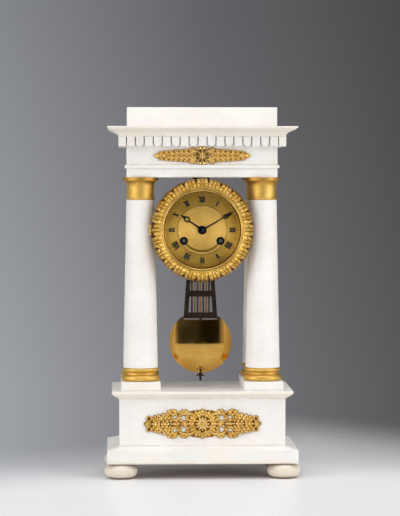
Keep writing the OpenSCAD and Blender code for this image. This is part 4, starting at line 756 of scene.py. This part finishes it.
# Width of each letter, and its strokes from end to end, each with its share of the full stroke width
LETTERS = {
    "I": (0.9, [(0.0, 0.0, 0.0, 1.0, 1.0)]),
    "V": (1.25, [(-0.42, 1.0, 0.02, 0.0, 1.0), (0.42, 1.0, 0.06, 0.0, 0.55)]),
    "X": (1.25, [(-0.42, 1.0, 0.42, 0.0, 1.0), (0.42, 1.0, -0.42, 0.0, 0.55)]),
}
NUMERALS = ["XII", "I", "II", "III", "IIII", "V", "VI", "VII", "VIII", "IX", "X", "XI"]
NUMERAL_FOOT_R, NUMERAL_HEAD_R = 35.8, 43.5
LETTER_PITCH, LETTER_SPREAD, STROKE_W = 2.4, 3.6, 2.0
SERIF_W, SERIF_HALF = 0.5, 0.75
NUMERAL_PROUD, MARK_PROUD, INLAY_DEPTH = 0.06, 0.05, 0.12
MARK_R, MARK_SIDES, HOUR_MARK, MINUTE_MARK = 47.2, 8, 0.9, 0.30


def numeral_strokes():
    """Every stroke as (x0, y0, x1, y1, width, hour) across and up its numeral: letters stand side by side,
    and a thin serif closes each end."""
    rows = []
    high = NUMERAL_HEAD_R - NUMERAL_FOOT_R
    for hour, word in enumerate(NUMERALS):
        widths = [LETTERS[letter][0] * LETTER_PITCH for letter in word]
        left = -sum(widths) / 2
        for letter, width in zip(word, widths):
            for x0, y0, x1, y1, heavy in LETTERS[letter][1]:
                x0, x1 = (left + width / 2 + x * LETTER_SPREAD for x in (x0, x1))
                rows.append((x0, y0 * high, x1, y1 * high, STROKE_W * heavy, hour))
                for x, y in ((x0, y0), (x1, y1)):
                    rows.append((x - SERIF_HALF, y * high, x + SERIF_HALF, y * high, SERIF_W, hour))
            left += width
    return np.array(rows)


def inlay(name, x, z, proud):
    """Flat prisms let into the dial, from outlines about its middle, standing proud of its face."""
    front = np.stack([x + dial_mid[0], np.full_like(x, dial_front - proud), z + dial_mid[2]], -1)
    return prisms(name, front, INLAY_DEPTH)


def hour_numerals():
    """Each stroke is a flat bar: its corners lie half a width to each side of its line, and it is turned to
    the numeral's hour."""
    row = numeral_strokes()
    a, b, width, hour = row[:, 0:2], row[:, 2:4], row[:, 4:5], row[:, 5:6]
    along = (b - a) / np.linalg.norm(b - a, axis=1, keepdims=True)
    across = np.stack([-along[:, 1], along[:, 0]], -1) * width / 2
    flat = np.stack([a - across, b - across, b + across, a + across], 1)
    angle = hour * np.pi / 6
    aside, out = flat[:, :, 0], NUMERAL_FOOT_R + flat[:, :, 1]
    x = aside * np.cos(angle) + out * np.sin(angle)
    z = -aside * np.sin(angle) + out * np.cos(angle)
    return inlay("hour_numerals", x, z, NUMERAL_PROUD)


def minute_marks():
    """Small round dots every minute, larger every fifth: eight-sided prisms round the dial."""
    minute = np.arange(60)[:, None]
    size = np.where(minute % 5 == 0, HOUR_MARK, MINUTE_MARK)
    turn = np.linspace(0, FULL_TURN, MARK_SIDES, endpoint=False)[None]
    angle = minute * np.pi / 30
    x = MARK_R * np.sin(angle) + size * np.cos(turn)
    z = MARK_R * np.cos(angle) + size * np.sin(turn)
    return inlay("minute_marks", x, z, MARK_PROUD)


dress(hour_numerals(), WAX, "root")
dress(minute_marks(), WAX, "root")


# Winding cups round the winding squares, and the cap on the hand nut

# Radius of each profile, and the distance behind the dial or the nut's face
CUP = [(2.95, 4.2), (5.1, 4.2), (5.25, -0.25), (4.9, -0.3), (4.6, 0.2), (2.95, 3.0), (2.95, 4.2)]
CAP = [(1.3, 0), (2.75, 0), (2.7, -0.4), (2.2, -0.95), (1.2, -1.35), (0, -1.5),
       (0, -1.2), (1.2, -1.1), (1.3, -0.9), (1.3, 0)]


def front_point(node, y=None):
    """The middle of a node's front in x and z, at its own front or at a given y."""
    lo, hi = box_mm(node)
    return (lo[0] + hi[0]) / 2, lo[1] if y is None else y, (lo[2] + hi[2]) / 2


for name in ("going", "strike"):
    cup = turned(name + "_winding_cup", CUP, front_point(name + "_arbor", dial_front), 1, 48)
    dress_plain(cup, "blued_steel", "root")
dress_plain(turned("hand_cap", CAP, front_point("hand_nut"), 1, 40), "blued_steel", "minute_hand")


# Pendulum bob, with the boss and the screw at its foot

BOB_EDGE_HALF, BOB_RINGS, BOB_STEPS = 0.5, 60, 240
NOTCH_CLEAR, NOTCH_DROP = 0.4, 2.5
BOSS_R, BOSS_INSIDE_BOB = 4.7, 3.9
BOSS = [(0, -3.6), (1.9, -3.7), (2.5, -4.5), (3.4, -4.7), (4.3, -4.0), (BOSS_R, -2.4), (BOSS_R, 2.4),
        (4.3, 4.0), (3.4, 4.7), (0, 4.7)]
BOSS_SCREW = [(0, -4.3), (1.2, -4.2), (1.7, -3.9), (1.8, -3.4), (0, -3.4)]
bob_r = (bob_hi[0] - bob_lo[0]) / 2
bob_x, bob_y = (bob_lo[:2] + bob_hi[:2]) / 2
boss_mid = np.array([bob_x, bob_y, bob_lo[2] + BOSS_R])
bob_mid = boss_mid + [0, 0, bob_r - BOSS_INSIDE_BOB]
notch_half = (grid_hi[0] - grid_lo[0]) / 2 + NOTCH_CLEAR
notch_z = box_mm("pendulum_rods")[0][2] - NOTCH_DROP


def bob_lens():
    """A lens turned about its middle: y is the arc of a sphere whose cap rises to half the bob's thickness,
    cut level under the gridiron's foot between the frame's sides."""
    half_t = (bob_hi[1] - bob_lo[1]) / 2
    rise = half_t - BOB_EDGE_HALF
    sphere = (bob_r**2 + rise**2) / (2 * rise)
    r = bob_r * np.sin(np.linspace(0, np.pi / 2, BOB_RINGS))
    cap = half_t - sphere + np.sqrt(sphere**2 - r**2)
    y = np.concatenate([-cap, cap[::-1]])
    r, a = np.meshgrid(np.concatenate([r, r[::-1]]), np.linspace(0, FULL_TURN, BOB_STEPS, endpoint=False))
    x, z = r * np.cos(a), r * np.sin(a)
    notch = notch_z - bob_mid[2]
    z = np.where((np.abs(x) < notch_half) & (z > notch), notch, z)
    points = np.stack([x, np.broadcast_to(y, x.shape), z], -1) + bob_mid
    return surface("bob_lens", points, wrap_u=True)


dress(bob_lens(), FINISHES["polished_brass"], "bob", ["pendulum_bob"])
dress_plain(turned("bob_boss", BOSS, boss_mid, 1, 40), "polished_brass", "bob")
dress_plain(turned("bob_boss_screw", BOSS_SCREW, boss_mid, 1), "dark_iron", "bob")


# Floor, backdrop, lamps and camera, in metres

FLOOR_R, FLOOR_RINGS, FLOOR_STEPS = 1.5, 24, 96


def floor_disc():
    """A flat disc: points r * (cos a, sin a) at floor height."""
    r = np.linspace(0, FLOOR_R / MM, FLOOR_RINGS)
    r, a = np.meshgrid(r, np.linspace(0, FULL_TURN, FLOOR_STEPS, endpoint=False))
    return surface("floor", np.stack([r * np.cos(a), r * np.sin(a), np.zeros_like(r)], -1), wrap_u=True)


def floor_finish():
    """Pale floor with a weak gloss, with painted shade well to each side under the lamps. It fades out behind
    the clock, sooner at the left as a painted shadow of the clock, and far to the right, so that the backdrop
    shows beyond it."""
    f = Finish("pale_floor", specular_ior_level=0.12, roughness=0.4)
    part = f.axes(f.place)
    pale = f.ramp(f.noise(400, 2.0), (0.4, (0.88, 0.88, 0.89)), (0.6, (0.90, 0.90, 0.91)))
    # Painted shade: the floor darkens well to each side, under the lamps
    aside = f.spread(f.math("ABSOLUTE", part["X"]), 0.6, 1.2)
    f.set(base_color=f.mix(aside, pale, (0.42, 0.42, 0.43)))
    # Painted shadow of the clock: at the left the floor fades out sooner, so that the darker backdrop shows
    # there
    left = f.math("MULTIPLY", f.math("MINIMUM", part["X"], 0.0), 0.56)
    sooner = f.math("SUBTRACT", f.spread(part["X"], 0.18, 0.40, 0.0, 0.25), left)
    reach = f.spread(part["X"], 0.0, 0.15, 0.44, 0.80)
    back = f.math("ADD", part["Y"], sooner)
    return f.clear(f.spread(back, -0.09, reach, interpolation_type="SMOOTHSTEP"))


floor = floor_disc()
floor.data.materials.append(floor_finish())


def backdrop(w, way):
    """Grey paper backdrop by direction, as a colour and a strength: lighter to the left and lower down,
    darker to the right, above and towards the camera's side."""
    across = w.spread(way["X"], -0.057, 0.138)
    light, middle, dark = (0.318, 0.330, 0.355), (0.168, 0.166, 0.180), (0.083, 0.082, 0.083)
    grey = w.ramp(across, (0.0, light), (0.5, middle), (1.0, dark))
    rise = w.spread(way["Z"], -0.0925, 0.0755, 1.12, 0.75)
    ahead = w.spread(way["Y"], -0.95, -0.6, 0.18, 1.0)
    return grey, w.math("MULTIPLY", rise, ahead)


def studio_world():
    """Camera, mirror and glass rays see the backdrop, and mirror rays also see pale studio walls to both
    sides of the camera; all other rays take an even soft fill."""
    world = bpy.data.worlds.new("studio")
    bpy.context.scene.world = world
    world.use_nodes = True
    world.node_tree.nodes.clear()
    w = Nodes(world.node_tree)

    def glow(colour, strength):
        """Even light of a colour and a strength."""
        return w.add("ShaderNodeBackground", {"Color": colour, "Strength": strength}).outputs[0]

    way = w.axes(w.add("ShaderNodeTexCoord").outputs["Generated"])
    path = w.add("ShaderNodeLightPath").outputs
    seen = w.math("MAXIMUM", path["Is Camera Ray"], path["Is Glossy Ray"])
    seen = w.math("MAXIMUM", seen, path["Is Transmission Ray"])
    aside = w.spread(w.math("ABSOLUTE", way["X"]), 0.42, 0.50)
    front = w.spread(way["Y"], -0.4, -0.6)
    walls = w.math("MULTIPLY", w.math("MULTIPLY", aside, front), path["Is Glossy Ray"])
    shown = w.blend(walls, glow(*backdrop(w, way)), glow((0.52, 0.49, 0.445, 1), 1.0))
    fill = glow((0.95, 0.97, 1.0, 1), 0.36)
    w.add("ShaderNodeOutputWorld", {"Surface": w.blend(seen, fill, shown)})


def softbox(name, at, aim, size, power):
    """A rectangular soft lamp at a point, turned to face another point."""
    lamp = bpy.data.lights.new(name, "AREA")
    lamp.shape = "RECTANGLE"
    lamp.size, lamp.size_y = size
    lamp.energy = power
    obj = bpy.data.objects.new(name, lamp)
    bpy.context.scene.collection.objects.link(obj)
    obj.location = at
    obj.rotation_mode = "QUATERNION"
    obj.rotation_quaternion = (Vector(aim) - Vector(at)).to_track_quat("-Z", "Y")
    return obj


studio_world()
SIDE_SIZE, SIDE_AIM = (1.5, 1.7), (0, 0, 0.20)
softbox("left_softbox", (-1.75, -1.15, 0.75), SIDE_AIM, SIDE_SIZE, 23.3)
softbox("right_softbox", (1.75, -1.15, 0.80), SIDE_AIM, SIDE_SIZE, 24.8)
softbox("top_softbox", (0.1, -0.45, 1.80), (0, -0.15, 0.0), (1.4, 0.9), 12.6)
back_softbox = softbox("back_softbox", (-0.3, 1.9, 0.60), (0, 0, 0.26), (1.6, 0.8), 5)
back_softbox.visible_glossy = False

CAMERA_AT = (-0.1172, -2.967, 0.387)
CAMERA_DOWN, CAMERA_RIGHT = 0.0346, 0.0392
CAMERA_LENS, CAMERA_WIDTH = 156.4, 36
camera = bpy.data.objects.new("camera", bpy.data.cameras.new("camera"))
bpy.context.scene.collection.objects.link(camera)
camera.location = CAMERA_AT
camera.rotation_euler = (np.pi / 2 - CAMERA_DOWN, 0, -CAMERA_RIGHT)
camera.data.lens, camera.data.sensor_width = CAMERA_LENS, CAMERA_WIDTH
bpy.context.scene.camera = camera
bpy.context.scene.view_settings.view_transform = "Standard"
